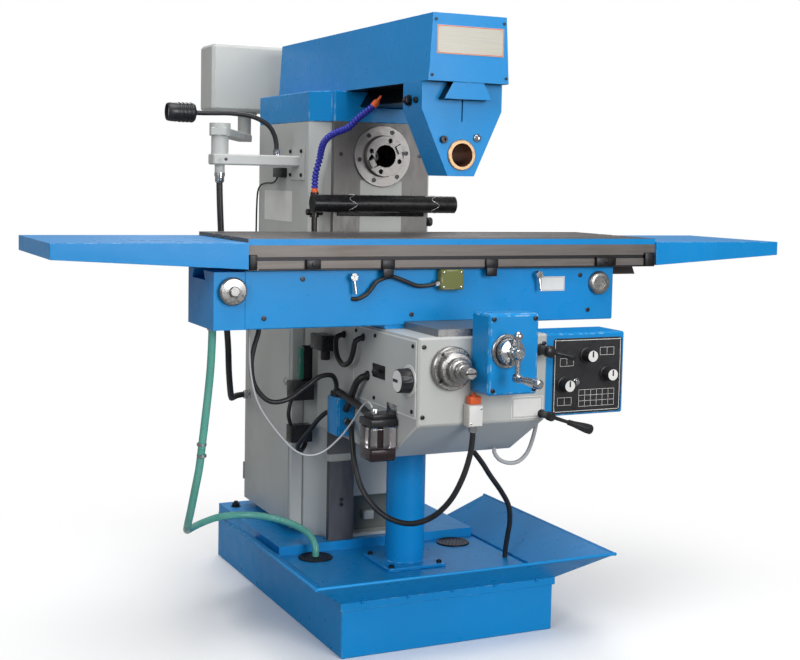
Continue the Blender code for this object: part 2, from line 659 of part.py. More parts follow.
def make_drive():
    """Motor, belt and input shaft inside the column, with the gear pair that turns the spindle."""
    pinion_z = SPINDLE_Z - centre_distance()
    flat("bull_gear", gear_outline(BULL_TEETH, SPINDLE_Z, -math.pi / 2), GEAR_Y, GEAR_Y + GEAR_WIDTH, "XZ",
         "machined_steel", holes=[circle(GEAR_SEAT + GAP, SPINDLE_Z)])
    start = -(GEARBOX_FRONT_Y - 0.025)
    end = -(COLUMN_REAR_Y - COLUMN_WALL + 0.015)
    pulley_start, pulley_end = -PULLEY_Y, -(PULLEY_Y + PULLEY_WIDTH)
    shaft = turned("pinion_shaft", [
        (0, start), (DRIVE_SHAFT_RADIUS, start), (DRIVE_SHAFT_RADIUS, pulley_start),
        (PULLEY_RADIUS, pulley_start), (PULLEY_RADIUS, pulley_end), (DRIVE_SHAFT_RADIUS, pulley_end),
        (DRIVE_SHAFT_RADIUS, end), (0, end)], (0, 0, pinion_z), "-Y", "machined_steel")
    half_tooth = math.pi / PINION_TEETH
    join(shaft, flat("pinion_teeth", gear_outline(PINION_TEETH, pinion_z, math.pi / 2 + half_tooth),
                     GEAR_Y - 0.004, GEAR_Y + GEAR_WIDTH + 0.004, "XZ"))
    turned("motor_pulley", [
        (0, -0.350), (0.014, -0.350), (0.014, pulley_start), (PULLEY_RADIUS, pulley_start),
        (PULLEY_RADIUS, pulley_end), (0, pulley_end)], (0, 0, MOTOR_Z), "-Y", "machined_steel")
    floor = FOOT_TOP_Z + 0.034 + GAP
    motor = rod("main_motor", (0, 0.120, MOTOR_Z), (0, 0.400, MOTOR_Z), MOTOR_RADIUS, "motor_grey", 36)
    join(motor, box("motor_foot", (-0.090, 0.150, floor), (0.090, 0.370, MOTOR_Z - 0.06)))
    cut(motor, bore_y("motor_bore", 0, MOTOR_Z, 0.0145, 0.340, 0.410, 24))
    inner, outer = PULLEY_RADIUS + GAP, PULLEY_RADIUS + BELT_THICKNESS
    flat("drive_belt", belt_outline(outer, pinion_z), PULLEY_Y + 0.004, PULLEY_Y + PULLEY_WIDTH - 0.004, "XZ",
         "black_rubber", holes=[belt_outline(inner, pinion_z)])


def belt_outline(radius, top_z):
    steps = [math.pi * step / 20 for step in range(21)]
    upper = [(radius * math.cos(angle), top_z + radius * math.sin(angle)) for angle in steps]
    lower = [(-radius * math.cos(angle), MOTOR_Z - radius * math.sin(angle)) for angle in steps]
    return upper + lower


# ---- Overarm ----------------------------------------------------------------------------------
def make_overarm():
    bottom = CAP_TOP_Z + GAP
    outline = mirrored([(OVERARM_HALF_TOP, OVERARM_TOP_Z), (OVERARM_HALF_BOTTOM, bottom)])
    overarm = flat("overarm", outline, OVERARM_FRONT_Y, OVERARM_REAR_Y, "XZ", "blue_paint")
    join(overarm, dovetail("overarm_dovetail", bottom, DOVETAIL_DEPTH, DOVETAIL_FOOT, DOVETAIL_NECK,
                           OVERARM_FRONT_Y + 0.002, OVERARM_REAR_Y - 0.002))
    inner = OVERARM_HALF_TOP - OVERARM_WALL
    core = box("overarm_core", (-inner, OVERARM_FRONT_Y + OVERARM_WALL, bottom + 0.020),
               (inner, OVERARM_REAR_Y - OVERARM_WALL, OVERARM_TOP_Z - 0.022))
    join(core, bore_y("core_hole", 0, (bottom + OVERARM_TOP_Z) / 2 + 0.003, 0.045, OVERARM_REAR_Y - 0.04,
                      OVERARM_REAR_Y + 0.01, 28))
    cut(overarm, core)


def make_arbor_support():
    top = CAP_TOP_Z
    outline = mirrored([
        (OVERARM_HALF_BOTTOM, top), (OVERARM_HALF_BOTTOM, SUPPORT_SHOULDER_Z),
        (SUPPORT_BOTTOM_HALF, SUPPORT_BOTTOM_Z)])
    support = flat("arbor_support", outline, SUPPORT_FRONT_Y, SUPPORT_REAR_Y, "XZ", "blue_paint")
    past = 0.01
    cut(support,
        dovetail("support_slot", CAP_TOP_Z, DOVETAIL_DEPTH, DOVETAIL_FOOT, DOVETAIL_NECK, SUPPORT_FRONT_Y - past,
                 SUPPORT_REAR_Y + past, SLIDING),
        box("support_slit", (-SLIT_HALF_WIDTH, SUPPORT_FRONT_Y - past, SLIT_BOTTOM_Z),
            (SLIT_HALF_WIDTH, SUPPORT_REAR_Y + past, CAP_TOP_Z - DOVETAIL_DEPTH + 0.005)),
        bore_y("bush_bore", 0, SPINDLE_Z, BUSH_OUTER + GAP, SUPPORT_FRONT_Y - past, SUPPORT_REAR_Y + past))
    proud = 0.006
    profile = [(BUSH_BORE, -SUPPORT_FRONT_Y + proud), (BUSH_OUTER, -SUPPORT_FRONT_Y + proud),
               (BUSH_OUTER, -SUPPORT_REAR_Y), (BUSH_BORE, -SUPPORT_REAR_Y)]
    turned("arbor_bush", profile, (0, 0, SPINDLE_Z), "-Y", "bronze", ring=True, steps=28)


# ---- Knee -------------------------------------------------------------------------------------
def knee_outline(inset):
    slope = 0.6 * inset
    return [(KNEE_FRONT_Y + inset, KNEE_TOP_Z - inset), (KNEE_FRONT_Y + inset, KNEE_FRONT_BOTTOM_Z + slope),
            (KNEE_SLOPE_Y + slope, KNEE_BOTTOM_Z + inset), (-GAP - inset, KNEE_BOTTOM_Z + inset),
            (-GAP - inset, KNEE_TOP_Z - inset)]


def make_knee():
    knee = flat("knee", knee_outline(0.0), -KNEE_HALF_WIDTH, KNEE_HALF_WIDTH, "YZ", "grey_paint")
    bevelled(knee, 0.006)
    for side, word in ((-1, "left"), (1, "right")):
        near, far = sorted((side * (GUIDE_HALF_WIDTH + SLIDING * 2), side * KNEE_HALF_WIDTH))
        join(knee, box("knee_cheek_" + word, (near, -0.020, KNEE_BOTTOM_Z + 0.004),
                       (far, KNEE_CHEEK, KNEE_TOP_Z - 0.004)))
    guide_top = KNEE_TOP_Z + KNEE_GUIDE_HEIGHT
    join(knee, box("knee_guide", (-KNEE_GUIDE_HALF, KNEE_FRONT_Y + 0.006, KNEE_TOP_Z - 0.01),
                   (KNEE_GUIDE_HALF, -0.012, guide_top)))
    inner = KNEE_HALF_WIDTH - KNEE_WALL
    cut(knee, flat("knee_core", knee_outline(KNEE_WALL), -inner, inner, "YZ"),
        rod("post_way", (0, POST_Y, KNEE_BOTTOM_Z - 0.01), (0, POST_Y, KNEE_BOTTOM_Z + 0.05), 0.085, sides=40))
    screw_top = KNEE_TOP_Z - KNEE_WALL - GAP
    turned("elevating_screw", [
        (0, screw_top), (0.045, screw_top), (0.045, screw_top - 0.030), (SCREW_RADIUS, screw_top - 0.030),
        (SCREW_RADIUS, SCREW_BOTTOM_Z), (0, SCREW_BOTTOM_Z)], (0, POST_Y, 0), "+Z", "machined_steel")
    x = -KNEE_HALF_WIDTH - GAP
    box("lubricator", (x - LUBRICATOR_DEPTH, LUBRICATOR_Y[0], LUBRICATOR_Z[0]),
        (x, LUBRICATOR_Y[1], LUBRICATOR_Z[1]), "clear_plastic", 0.006)
    box("junction_box", (x - JUNCTION_DEPTH, JUNCTION_Y[0], JUNCTION_Z[0]), (x, JUNCTION_Y[1], JUNCTION_Z[1]),
        "blue_paint", 0.003)
    box("knee_limit_switch", (-0.062, KNEE_FRONT_Y - 0.034, 0.670), (-0.017, KNEE_FRONT_Y - GAP, 0.762),
        "switch_plastic", 0.003)
    turned("selector_knob", knob_profile(SELECTOR_RADIUS, 0.040), (x, SELECTOR_Y, SELECTOR_Z), "-X",
           "black_plastic")


def make_screw_post():
    foot = BASE_TOP_Z + GAP
    post = turned("screw_post", [
        (POST_BORE, POST_TOP_Z), (POST_RADIUS, POST_TOP_Z), (POST_RADIUS, foot), (POST_BORE, foot)],
        (0, POST_Y, 0), "+Z", "blue_paint", ring=True)
    plate = box("post_plate", (-POST_PLATE_HALF, POST_Y - POST_PLATE_HALF, foot),
                (POST_PLATE_HALF, POST_Y + POST_PLATE_HALF, foot + POST_PLATE_THICKNESS))
    cut(plate, rod("post_plate_bore", (0, POST_Y, foot - 0.01), (0, POST_Y, foot + 0.03), POST_RADIUS - 0.003,
                   sides=40))
    join(post, plate)
    seat = POST_TOP_Z + GAP
    bore = SCREW_RADIUS + SLIDING
    turned("elevating_nut", [
        (bore, seat + NUT_FLANGE_THICKNESS), (NUT_FLANGE_RADIUS, seat + NUT_FLANGE_THICKNESS),
        (NUT_FLANGE_RADIUS, seat), (POST_BORE - GAP, seat), (POST_BORE - GAP, seat - 0.070),
        (bore, seat - 0.070)], (0, POST_Y, 0), "+Z", "bronze", ring=True)


def knob_profile(radius, length):
    return [(0, length), (radius * 0.80, length), (radius * 0.88, length - 0.003), (radius * 0.88, 0.010),
            (radius, 0.008), (radius, GAP), (0, GAP)]


def lever(name, hub, tip, hub_radius, arm_radius, grip_radius, finish="black_plastic"):
    """A hub on the knee's front with an arm that ends in a longer grip."""
    hub, tip = Vector(hub), Vector(tip)
    front = Vector((hub.x, tip.y, hub.z))
    obj = rod(name, (hub.x, KNEE_FRONT_Y - GAP, hub.z), front - Vector((0, arm_radius * 1.6, 0)), hub_radius,
              finish, 20)
    middle = front.lerp(tip, 0.45)
    join(obj, rod(name + "_arm", front, tip, arm_radius, sides=12),
         rod(name + "_grip", middle, tip + (tip - front).normalized() * 0.004, grip_radius, sides=14))
    return obj


def make_feed_controls():
    front = KNEE_FRONT_Y - GAP
    turned("vertical_feed_dial", [
        (0, 0.123), (0.014, 0.123), (0.016, 0.121), (0.016, 0.080), (0.024, 0.080), (0.024, 0.062),
        (0.034, 0.062), (0.034, 0.046), (0.047, 0.040), (0.047, 0.024), (0.060, 0.022), (0.060, 0.000),
        (0, 0.000)], (DIAL_X, front, DIAL_Z), "-Y", "machined_steel")
    gearbox_front = front - GEARBOX_DEPTH
    gearbox = box("feed_gearbox", (GEARBOX_X[0], gearbox_front, GEARBOX_Z[0]), (GEARBOX_X[1], front, GEARBOX_Z[1]),
                  "blue_paint", 0.006)
    cut(gearbox, bore_y("crank_bore", CRANK_X, CRANK_Z, CRANK_SHAFT_RADIUS + SLIDING, gearbox_front - 0.01,
                        gearbox_front + 0.060, 28))
    dial_start = GAP
    crank = turned("cross_feed_crank", [
        (0, 0.076), (0.012, 0.076), (0.016, 0.070), (0.016, 0.052), (0.020, 0.050), (0.020, 0.040),
        (0.036, 0.036), (0.036, dial_start), (CRANK_SHAFT_RADIUS, dial_start), (CRANK_SHAFT_RADIUS, -0.050),
        (0, -0.050)], (CRANK_X, gearbox_front, CRANK_Z), "-Y", "machined_steel")
    arm_y = gearbox_front - 0.061
    handle_z = CRANK_Z - CRANK_ARM
    join(crank,
         rod("crank_arm", (CRANK_X, arm_y, CRANK_Z), (CRANK_X, arm_y, handle_z), 0.0075, sides=10),
         rod("crank_tail", (CRANK_X, arm_y, CRANK_Z), (CRANK_X, arm_y, CRANK_Z + 0.042), 0.0065, sides=10),
         ball("crank_weight", (CRANK_X, arm_y, CRANK_Z + 0.046), 0.013),
         rod("crank_eye", (CRANK_X, arm_y - 0.010, handle_z), (CRANK_X, arm_y + 0.010, handle_z), 0.012, sides=12))
    turned("crank_handle", [
        (0, 0.108), (0.008, 0.108), (0.0125, 0.102), (0.0135, 0.085), (0.0105, 0.040), (0.0085, 0.012),
        (0.0085, 0.0), (0, 0.0)], (CRANK_X, arm_y - 0.010 - GAP, handle_z), "-Y", "chrome", steps=16)
    box("feed_control_box", (KNEE_HALF_WIDTH + GAP, CONTROL_FRONT_Y, CONTROL_Z[0]),
        (CONTROL_RIGHT_X, CONTROL_FRONT_Y + CONTROL_DEPTH, CONTROL_Z[1]), "blue_paint", 0.004)
    for number, (x, z) in enumerate(FEED_KNOBS, 1):
        turned(f"feed_knob_{number}", knob_profile(KNOB_RADIUS, KNOB_LENGTH), (x, CONTROL_FRONT_Y, z), "-Y",
               "black_plastic", steps=20)
    lever("knee_clamp_lever", (0.176, 0, 0.871), (0.255, -0.760, 0.853), 0.017, 0.006, 0.010)
    lever("feed_lever", (0.185, 0, 0.690), (0.314, -0.760, 0.646), 0.013, 0.006, 0.014)


# ---- Saddle -----------------------------------------------------------------------------------
def make_saddle():
    top = TABLE_BOTTOM_Z - GAP
    seat = KNEE_TOP_Z + GAP
    saddle = box("saddle", (SADDLE_LEFT_X, SADDLE_FRONT_Y, SADDLE_BEAM_BOTTOM_Z),
                 (SADDLE_RIGHT_X, SADDLE_BEAM_REAR_Y, top), "blue_paint", 0.003)
    body = KNEE_HALF_WIDTH
    join(saddle,
         box("saddle_body", (-body, SADDLE_FRONT_Y + 0.004, seat), (body, SADDLE_REAR_Y, top)),
         box("saddle_end", (SADDLE_END_X, SADDLE_FRONT_Y + 0.002, SADDLE_BEAM_BOTTOM_Z),
             (SADDLE_LEFT_X + 0.01, SADDLE_BEAM_REAR_Y - 0.002, top - 0.004)))
    groove = KNEE_GUIDE_HALF + SLIDING
    wall = SADDLE_WALL
    low = SADDLE_BEAM_BOTTOM_Z - 0.01
    roof = TABLE_BOTTOM_Z - WAY_DEPTH - 0.020
    cut(saddle,
        box("saddle_groove", (-groove, SADDLE_FRONT_Y - 0.01, seat - 0.01),
            (groove, SADDLE_REAR_Y + 0.01, KNEE_TOP_Z + KNEE_GUIDE_HEIGHT + SLIDING)),
        box("saddle_core_left", (SADDLE_LEFT_X + wall, SADDLE_FRONT_Y + wall, low),
            (-body - wall, SADDLE_BEAM_REAR_Y - wall, roof)),
        box("saddle_core_right", (body + wall, SADDLE_FRONT_Y + wall, low),
            (SADDLE_RIGHT_X - wall, SADDLE_BEAM_REAR_Y - wall, roof)),
        table_way("saddle_way", SADDLE_END_X - 0.01, SADDLE_RIGHT_X + 0.01, SLIDING))
    nut_top = TABLE_BOTTOM_Z + 0.008
    nut_half = LEAD_CHANNEL - 0.003
    join(saddle, box("lead_nut", (-LEAD_NUT_HALF, WAY_Y - nut_half, roof + 0.010),
                     (LEAD_NUT_HALF, WAY_Y + nut_half, nut_top)))
    cut(saddle, rod("lead_nut_bore", (-LEAD_NUT_HALF - 0.01, WAY_Y, LEAD_Z), (LEAD_NUT_HALF + 0.01, WAY_Y, LEAD_Z),
                    LEAD_RADIUS + SLIDING, sides=24))
    front = SADDLE_FRONT_Y
    for x, word in zip(CLAMPS_X, ("left", "right")):
        clamp = rod("table_clamp_" + word, (x, front - GAP, CLAMP_Z), (x, front - 0.024, CLAMP_Z), 0.011, "chrome",
                    20)
        join(clamp, rod("table_clamp_arm_" + word, (x, front - 0.016, CLAMP_Z),
                        (x + 0.006, front - 0.020, CLAMP_Z - 0.046), 0.0048, sides=12))
    turned("table_feed_dial", [
        (0, 0.030), (0.012, 0.030), (0.014, 0.028), (0.014, 0.020), (TABLE_DIAL_RADIUS - 0.004, 0.018),
        (TABLE_DIAL_RADIUS, 0.014), (TABLE_DIAL_RADIUS, GAP), (0, GAP)],
        (TABLE_DIAL_X, front, TABLE_DIAL_Z), "-Y", "chrome")
    box("saddle_limit_switch", (-0.042, front - 0.030, 1.025), (0.031, front - GAP, top - 0.002), "olive_enamel",
        0.003)


# ---- Table ------------------------------------------------------------------------------------
def table_way(name, start, end, clearance=0.0, finish=None):
    """The table's dovetail, along X, that hangs under the table's bottom face."""
    half_top = WAY_NECK + clearance * 1.2
    half_low = WAY_FOOT + clearance * 1.2
    top, low = TABLE_BOTTOM_Z + 0.001, TABLE_BOTTOM_Z - WAY_DEPTH - clearance
    outline = [(WAY_Y + half_top, top), (WAY_Y + half_low, low), (WAY_Y - half_low, low), (WAY_Y - half_top, top)]
    return flat(name, outline, start, end, "YZ", finish)


def slot_centres():
    middle = (TABLE_FRONT_Y + TABLE_REAR_Y) / 2
    return [middle + step * SLOT_PITCH for step in (-1, 0, 1)]


def make_table():
    table = box("table", (TABLE_LEFT_X, TABLE_FRONT_Y, TABLE_BOTTOM_Z), (TABLE_RIGHT_X, TABLE_REAR_Y, TABLE_TOP_Z),
                "machined_steel")
    join(table, table_way("table_dovetail", TABLE_LEFT_X + 0.002, TABLE_RIGHT_X - 0.002))
    past = 0.01
    left, right = TABLE_LEFT_X - past, TABLE_RIGHT_X + past
    for number, y in enumerate(slot_centres()):
        neck_low = TABLE_TOP_Z - SLOT_NECK_DEPTH
        cut(table,
            box(f"slot_neck_{number}", (left, y - SLOT_NECK / 2, neck_low - 0.001),
                (right, y + SLOT_NECK / 2, TABLE_TOP_Z + past)),
            box(f"slot_head_{number}", (left, y - SLOT_HEAD / 2, neck_low - SLOT_HEAD_DEPTH),
                (right, y + SLOT_HEAD / 2, neck_low)))
    floor = TABLE_TOP_Z - GUTTER_DEPTH
    front, rear = TABLE_FRONT_Y + TABLE_LIP, TABLE_REAR_Y - TABLE_LIP
    end = 0.015
    cut(table,
        box("gutter_front", (TABLE_LEFT_X + end, front, floor), (TABLE_RIGHT_X - end, front + GUTTER_WIDTH,
                                                                 TABLE_TOP_Z + past)),
        box("gutter_rear", (TABLE_LEFT_X + end, rear - GUTTER_WIDTH, floor), (TABLE_RIGHT_X - end, rear,
                                                                              TABLE_TOP_Z + past)),
        box("dog_groove", (left, TABLE_FRONT_Y - past, DOG_GROOVE_Z[0]),
            (right, TABLE_FRONT_Y + DOG_GROOVE_DEPTH, DOG_GROOVE_Z[1])),
        box("lead_channel", (TABLE_LEFT_X + 0.025, WAY_Y - LEAD_CHANNEL, TABLE_BOTTOM_Z - WAY_DEPTH - past),
            (TABLE_RIGHT_X - 0.025, WAY_Y + LEAD_CHANNEL, TABLE_BOTTOM_Z + 0.015)),
        rod("lead_bore", (left, WAY_Y, LEAD_Z), (right, WAY_Y, LEAD_Z), LEAD_RADIUS + GAP, sides=24))
    rod("table_lead_screw", (TABLE_LEFT_X + 0.002, WAY_Y, LEAD_Z), (TABLE_RIGHT_X - 0.002, WAY_Y, LEAD_Z),
        LEAD_RADIUS, "machined_steel", 24)
    make_end_tray("left", TABLE_LEFT_X - GAP, TRAY_END_LEFT_X)
    make_end_tray("right", TABLE_RIGHT_X + GAP, TRAY_END_RIGHT_X)


def make_end_tray(word, near, far):
    """A sheet cover past the table's end: closed on top and all round, open underneath."""
    outward = 1 if far > near else -1
    low_near = TABLE_BOTTOM_Z + 0.004
    low_far = TRAY_TOP_Z - TRAY_END_HEIGHT
    outline = [(near, low_near), (near, TRAY_TOP_Z), (far, TRAY_TOP_Z), (far, low_far)]
    front, rear = TABLE_FRONT_Y - TRAY_OVERHANG, TABLE_REAR_Y
    tray = flat("tray_" + word, outline, front, rear, "XZ", "blue_paint")
    wall = TRAY_WALL
    inner_near, inner_far = near + outward * 0.012, far - outward * wall
    hollow = [(inner_near, low_near - 0.03), (inner_near, TRAY_TOP_Z - wall), (inner_far, TRAY_TOP_Z - wall),
              (inner_far, low_near - 0.03)]
    cut(tray, flat("tray_hollow_" + word, hollow, front + wall, rear - wall, "XZ"))


# ---- Fittings on the column -------------------------------------------------------------------
def make_column_fittings():
    left, right = GUARD_X
    sheet = GUARD_SHEET
    guard = [(left, -GAP), (left, -GUARD_DEPTH), (right, -GUARD_DEPTH), (right, -GAP), (right - sheet, -GAP),
             (right - sheet, sheet - GUARD_DEPTH), (left + sheet, sheet - GUARD_DEPTH), (left + sheet, -GAP)]
    flat("way_guard_plate", guard, FOOT_TOP_Z + GAP, GUARD_TOP_Z, "XY", "dark_steel")
    centre_y = -ROLL_RADIUS - 0.0015
    roll = rod("way_cover_roll", (-ROLL_HALF_LENGTH, centre_y, ROLL_Z), (ROLL_HALF_LENGTH, centre_y, ROLL_Z),
               ROLL_RADIUS, "black_rubber", 28)
    join(roll, box("roll_flap", (-0.150, -0.0060, ROLL_Z - ROLL_RADIUS - 0.012), (0.150, -GAP, ROLL_Z + 0.010)))
    arm = box("support_arm", (ARM_PIVOT_X - 0.029, ARM_Y - ARM_HALF, ARM_Z[0]),
              (-COLUMN_HALF_WIDTH - 0.004, ARM_Y + ARM_HALF, ARM_Z[1]), "grey_paint", 0.004)
    join(arm, box("arm_plate", (-COLUMN_HALF_WIDTH - ARM_PLATE_THICKNESS, ARM_Y - 0.062, ARM_PLATE_Z[0]),
                  (-COLUMN_HALF_WIDTH - GAP, ARM_Y + 0.060, ARM_PLATE_Z[1])),
         rod("arm_boss", (ARM_PIVOT_X, ARM_Y, ARM_Z[1] - 0.01), (ARM_PIVOT_X, ARM_Y, ARM_BOSS_TOP_Z),
             ARM_BOSS_RADIUS),
         rod("arm_gland", (ARM_PIVOT_X, ARM_Y, 1.3445), (ARM_PIVOT_X, ARM_Y, ARM_Z[0] + 0.005), 0.016, sides=12))
    pivot, end = Vector((ARM_PIVOT_X, ARM_Y, 0)), Vector((SWING_POST_X, SWING_POST_Y, 0))
    low = ARM_BOSS_TOP_Z + GAP
    length = (end - pivot).length
    link = box("swing_link", (-LINK_HUB_RADIUS, -LINK_HALF, low), (length + 0.028, LINK_HALF, LINK_TOP_Z),
               "grey_paint", 0.003)
    turn = math.atan2(end.y - pivot.y, end.x - pivot.x)
    link.matrix_world = Matrix.Translation(pivot) @ Matrix.Rotation(turn, 4, "Z")
    up = Vector((0, 0, 1))
    join(link, rod("link_hub", pivot + up * low, pivot + up * (LINK_TOP_Z + 0.014), LINK_HUB_RADIUS, sides=16),
         rod("link_post", end + up * low, end + up * (PENDANT_BOTTOM_Z - GAP), LINK_POST_RADIUS, sides=16),
         rod("link_flange", end + up * (PENDANT_BOTTOM_Z - 0.008), end + up * (PENDANT_BOTTOM_Z - GAP), 0.045,
             sides=16))
    half_x, half_y = PENDANT_HALF
    wall = PENDANT_WALL
    pendant = box("pendant_box", (end.x - half_x, end.y - half_y, PENDANT_BOTTOM_Z),
                  (end.x + half_x, end.y + half_y, PENDANT_TOP_Z), "grey_paint", 0.010)
    cut(pendant, rod("pendant_entry", end + up * (PENDANT_BOTTOM_Z - 0.01), end + up * (PENDANT_BOTTOM_Z + 0.01),
                     0.012, sides=16),
        box("pendant_room", (end.x - half_x + wall, end.y - half_y + wall, PENDANT_BOTTOM_Z + wall),
            (end.x + half_x - wall, end.y + half_y - wall, PENDANT_TOP_Z - wall)))
    make_lamp()
    make_coolant()


def make_lamp():
    tube("lamp_gooseneck", LAMP_ROUTE, LAMP_TUBE_RADIUS, "black_rubber")
    tail_x, _, tail_z = LAMP_ROUTE[-1]
    profile = [(0, 0.090), (0.026, 0.090), (0.026, 0.093), (0.031, 0.090), (0.031, 0.060), (0.025, 0.004),
               (0.021, 0.0), (0, 0.0)]
    turned("lamp_head", profile, (tail_x - GAP, ARM_Y, tail_z), "-X", "black_plastic", steps=28)


def make_coolant():
    at = Vector((STAND_X, STAND_Y, 0))
    up = Vector((0, 0, 1))
    stand = rod("coolant_stand", at + up * STAND_LOW_Z, at + up * STAND_TOP_Z, STAND_PIPE_RADIUS,
                "black_plastic", 16)
    side = Vector((1, 0, 0))
    seat = Vector((GUIDE_HALF_WIDTH - COLUMN_HALF_WIDTH, CHAMFER_Y - GUIDE_DEPTH - 0.022, 0)).normalized()
    normal = Vector((-seat.y, seat.x, 0))
    corner = Vector((-GUIDE_HALF_WIDTH, GUIDE_DEPTH + 0.022, 0))
    reach = (at - corner).dot(normal) - 0.001
    tee, bracket = at + up * VALVE_TEE_Z, at + up * STAND_BRACKET_Z
    join(stand, rod("valve_body", at + up * VALVE_Z[0], at + up * VALVE_Z[1], 0.0145, sides=18),
         rod("valve_tee", tee - side * 0.026, tee + side * 0.026, 0.010, sides=14),
         rod("hose_socket", at + up * HOSE_SOCKET_Z, at + up * STAND_TOP_Z, 0.0135, sides=18),
         rod("stand_bracket", bracket, bracket - normal * reach, 0.007, sides=12))
    tube("coolant_hose", COOLANT_ROUTE, 0.0105, "blue_plastic")
    tube("power_conduit", POWER_ROUTE, 0.0105, "black_rubber")
    tube("return_hose_upper", RETURN_UPPER_ROUTE, 0.011, "green_hose")
    tube("return_hose_lower", RETURN_LOWER_ROUTE, 0.011, "green_hose")
    tube("switch_conduit", SWITCH_ROUTE, 0.0085, "black_rubber")


make_base()
make_chip_tray()
make_column()
make_column_cap()
make_spindle()
make_drive()
make_overarm()
make_arbor_support()
make_knee()
make_screw_post()
make_feed_controls()
make_saddle()
make_table()
make_column_fittings()
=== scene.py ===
import json
import math

import bmesh
import bpy
from mathutils import Matrix, Vector
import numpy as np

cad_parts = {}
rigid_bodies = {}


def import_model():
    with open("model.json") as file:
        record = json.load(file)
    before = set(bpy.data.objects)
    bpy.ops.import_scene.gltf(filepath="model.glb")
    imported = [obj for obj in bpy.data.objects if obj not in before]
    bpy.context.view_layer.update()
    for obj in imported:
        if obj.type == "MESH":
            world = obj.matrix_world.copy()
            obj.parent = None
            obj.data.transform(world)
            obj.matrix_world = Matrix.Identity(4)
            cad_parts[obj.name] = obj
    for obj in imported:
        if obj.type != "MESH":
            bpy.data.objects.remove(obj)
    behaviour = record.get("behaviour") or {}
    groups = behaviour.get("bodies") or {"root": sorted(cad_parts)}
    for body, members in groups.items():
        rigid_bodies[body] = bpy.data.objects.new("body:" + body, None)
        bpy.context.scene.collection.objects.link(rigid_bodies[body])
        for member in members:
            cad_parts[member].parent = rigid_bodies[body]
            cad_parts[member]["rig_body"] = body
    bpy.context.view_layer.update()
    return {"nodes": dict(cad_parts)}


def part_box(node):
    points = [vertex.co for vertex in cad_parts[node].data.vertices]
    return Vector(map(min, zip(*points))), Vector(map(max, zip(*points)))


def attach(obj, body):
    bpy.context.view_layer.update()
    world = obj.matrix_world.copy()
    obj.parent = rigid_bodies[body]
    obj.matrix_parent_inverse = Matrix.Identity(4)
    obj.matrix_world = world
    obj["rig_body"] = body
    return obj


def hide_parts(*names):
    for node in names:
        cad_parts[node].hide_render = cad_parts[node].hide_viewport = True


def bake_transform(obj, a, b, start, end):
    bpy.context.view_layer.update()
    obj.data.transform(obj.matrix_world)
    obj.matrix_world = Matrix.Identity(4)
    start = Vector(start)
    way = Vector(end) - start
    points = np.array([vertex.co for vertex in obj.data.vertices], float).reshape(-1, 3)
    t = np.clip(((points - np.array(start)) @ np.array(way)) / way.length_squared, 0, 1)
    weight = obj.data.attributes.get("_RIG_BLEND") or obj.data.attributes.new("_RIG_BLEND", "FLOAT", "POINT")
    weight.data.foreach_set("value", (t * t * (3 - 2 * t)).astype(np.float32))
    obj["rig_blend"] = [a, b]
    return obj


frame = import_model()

nodes = frame["nodes"]
scene = bpy.context.scene
scene.view_settings.view_transform = "Standard"


# ---- The view, the lamps and the floor --------------------------------------------------------
# The machine stands on a pale floor and is seen from the front, a little to its left, at eye
# height.  Four large soft lamps light it: the strongest from the front, others from the left, from
# above and from behind.
def add_node(tree, kind, inputs=(), **settings):
    """A shader node with its settings, and its sockets set or linked."""
    made = tree.nodes.new("ShaderNode" + kind)
    for key, value in settings.items():
        setattr(made, key, value)
    for socket, value in dict(inputs).items():
        if isinstance(value, bpy.types.NodeSocket):
            tree.links.new(value, made.inputs[socket])
        else:
            made.inputs[socket].default_value = value
    return made


def looking(place, gaze):
    """The matrix of a lamp or camera that stands at a place and looks along a direction."""
    return Matrix.Translation(place) @ gaze.to_track_quat("-Z", "Y").to_matrix().to_4x4()


EYE = (-1.769, -3.921, 1.335)
yaw, pitch, roll = (math.radians(angle) for angle in (25.72, 4.58, 1.17))
gaze = Vector((math.sin(yaw) * math.cos(pitch), math.cos(yaw) * math.cos(pitch), -math.sin(pitch)))
camera = bpy.data.objects.new("view", bpy.data.cameras.new("view"))
camera.matrix_world = looking(EYE, gaze) @ Matrix.Rotation(roll, 4, "Z")
camera.data.lens = 60.75
camera.data.shift_x = -0.01625
camera.data.shift_y = -0.0525
scene.collection.objects.link(camera)
scene.camera = camera

middle = Vector((0.0, -0.05, 0.95))
for name, side, height, depth, power, size in (
        ("lamp_front", 1.2, 2.4, -6.6, 278.0, 3.0),
        ("lamp_left", -4.6, 3.0, -3.2, 98.0, 2.4),
        ("lamp_above", -0.4, 4.6, -0.8, 125.0, 3.0),
        ("lamp_behind", 1.5, 4.6, 4.2, 100.0, 2.6)):
    lamp = bpy.data.objects.new(name, bpy.data.lights.new(name, "AREA"))
    lamp.data.energy = power
    lamp.data.size = size
    place = Vector((side, depth, height))
    lamp.matrix_world = looking(place, middle - place)
    scene.collection.objects.link(lamp)

world = bpy.data.worlds.new("studio")
world.use_nodes = True
scene.world = world
sky = world.node_tree
sky.nodes.clear()
path = add_node(sky, "LightPath").outputs
seen = add_node(sky, "Math", {0: path["Is Camera Ray"], 1: path["Is Transmission Ray"]}, operation="MAXIMUM")
WHITE = (1.0, 1.0, 1.0, 1.0)
plain = add_node(sky, "Background", {"Color": WHITE, "Strength": 0.32})
white = add_node(sky, "Background", {"Color": WHITE, "Strength": 1.0})
shown = add_node(sky, "MixShader", {0: seen.outputs[0], 1: plain.outputs[0], 2: white.outputs[0]})
add_node(sky, "OutputWorld", {"Surface": shown.outputs[0]})

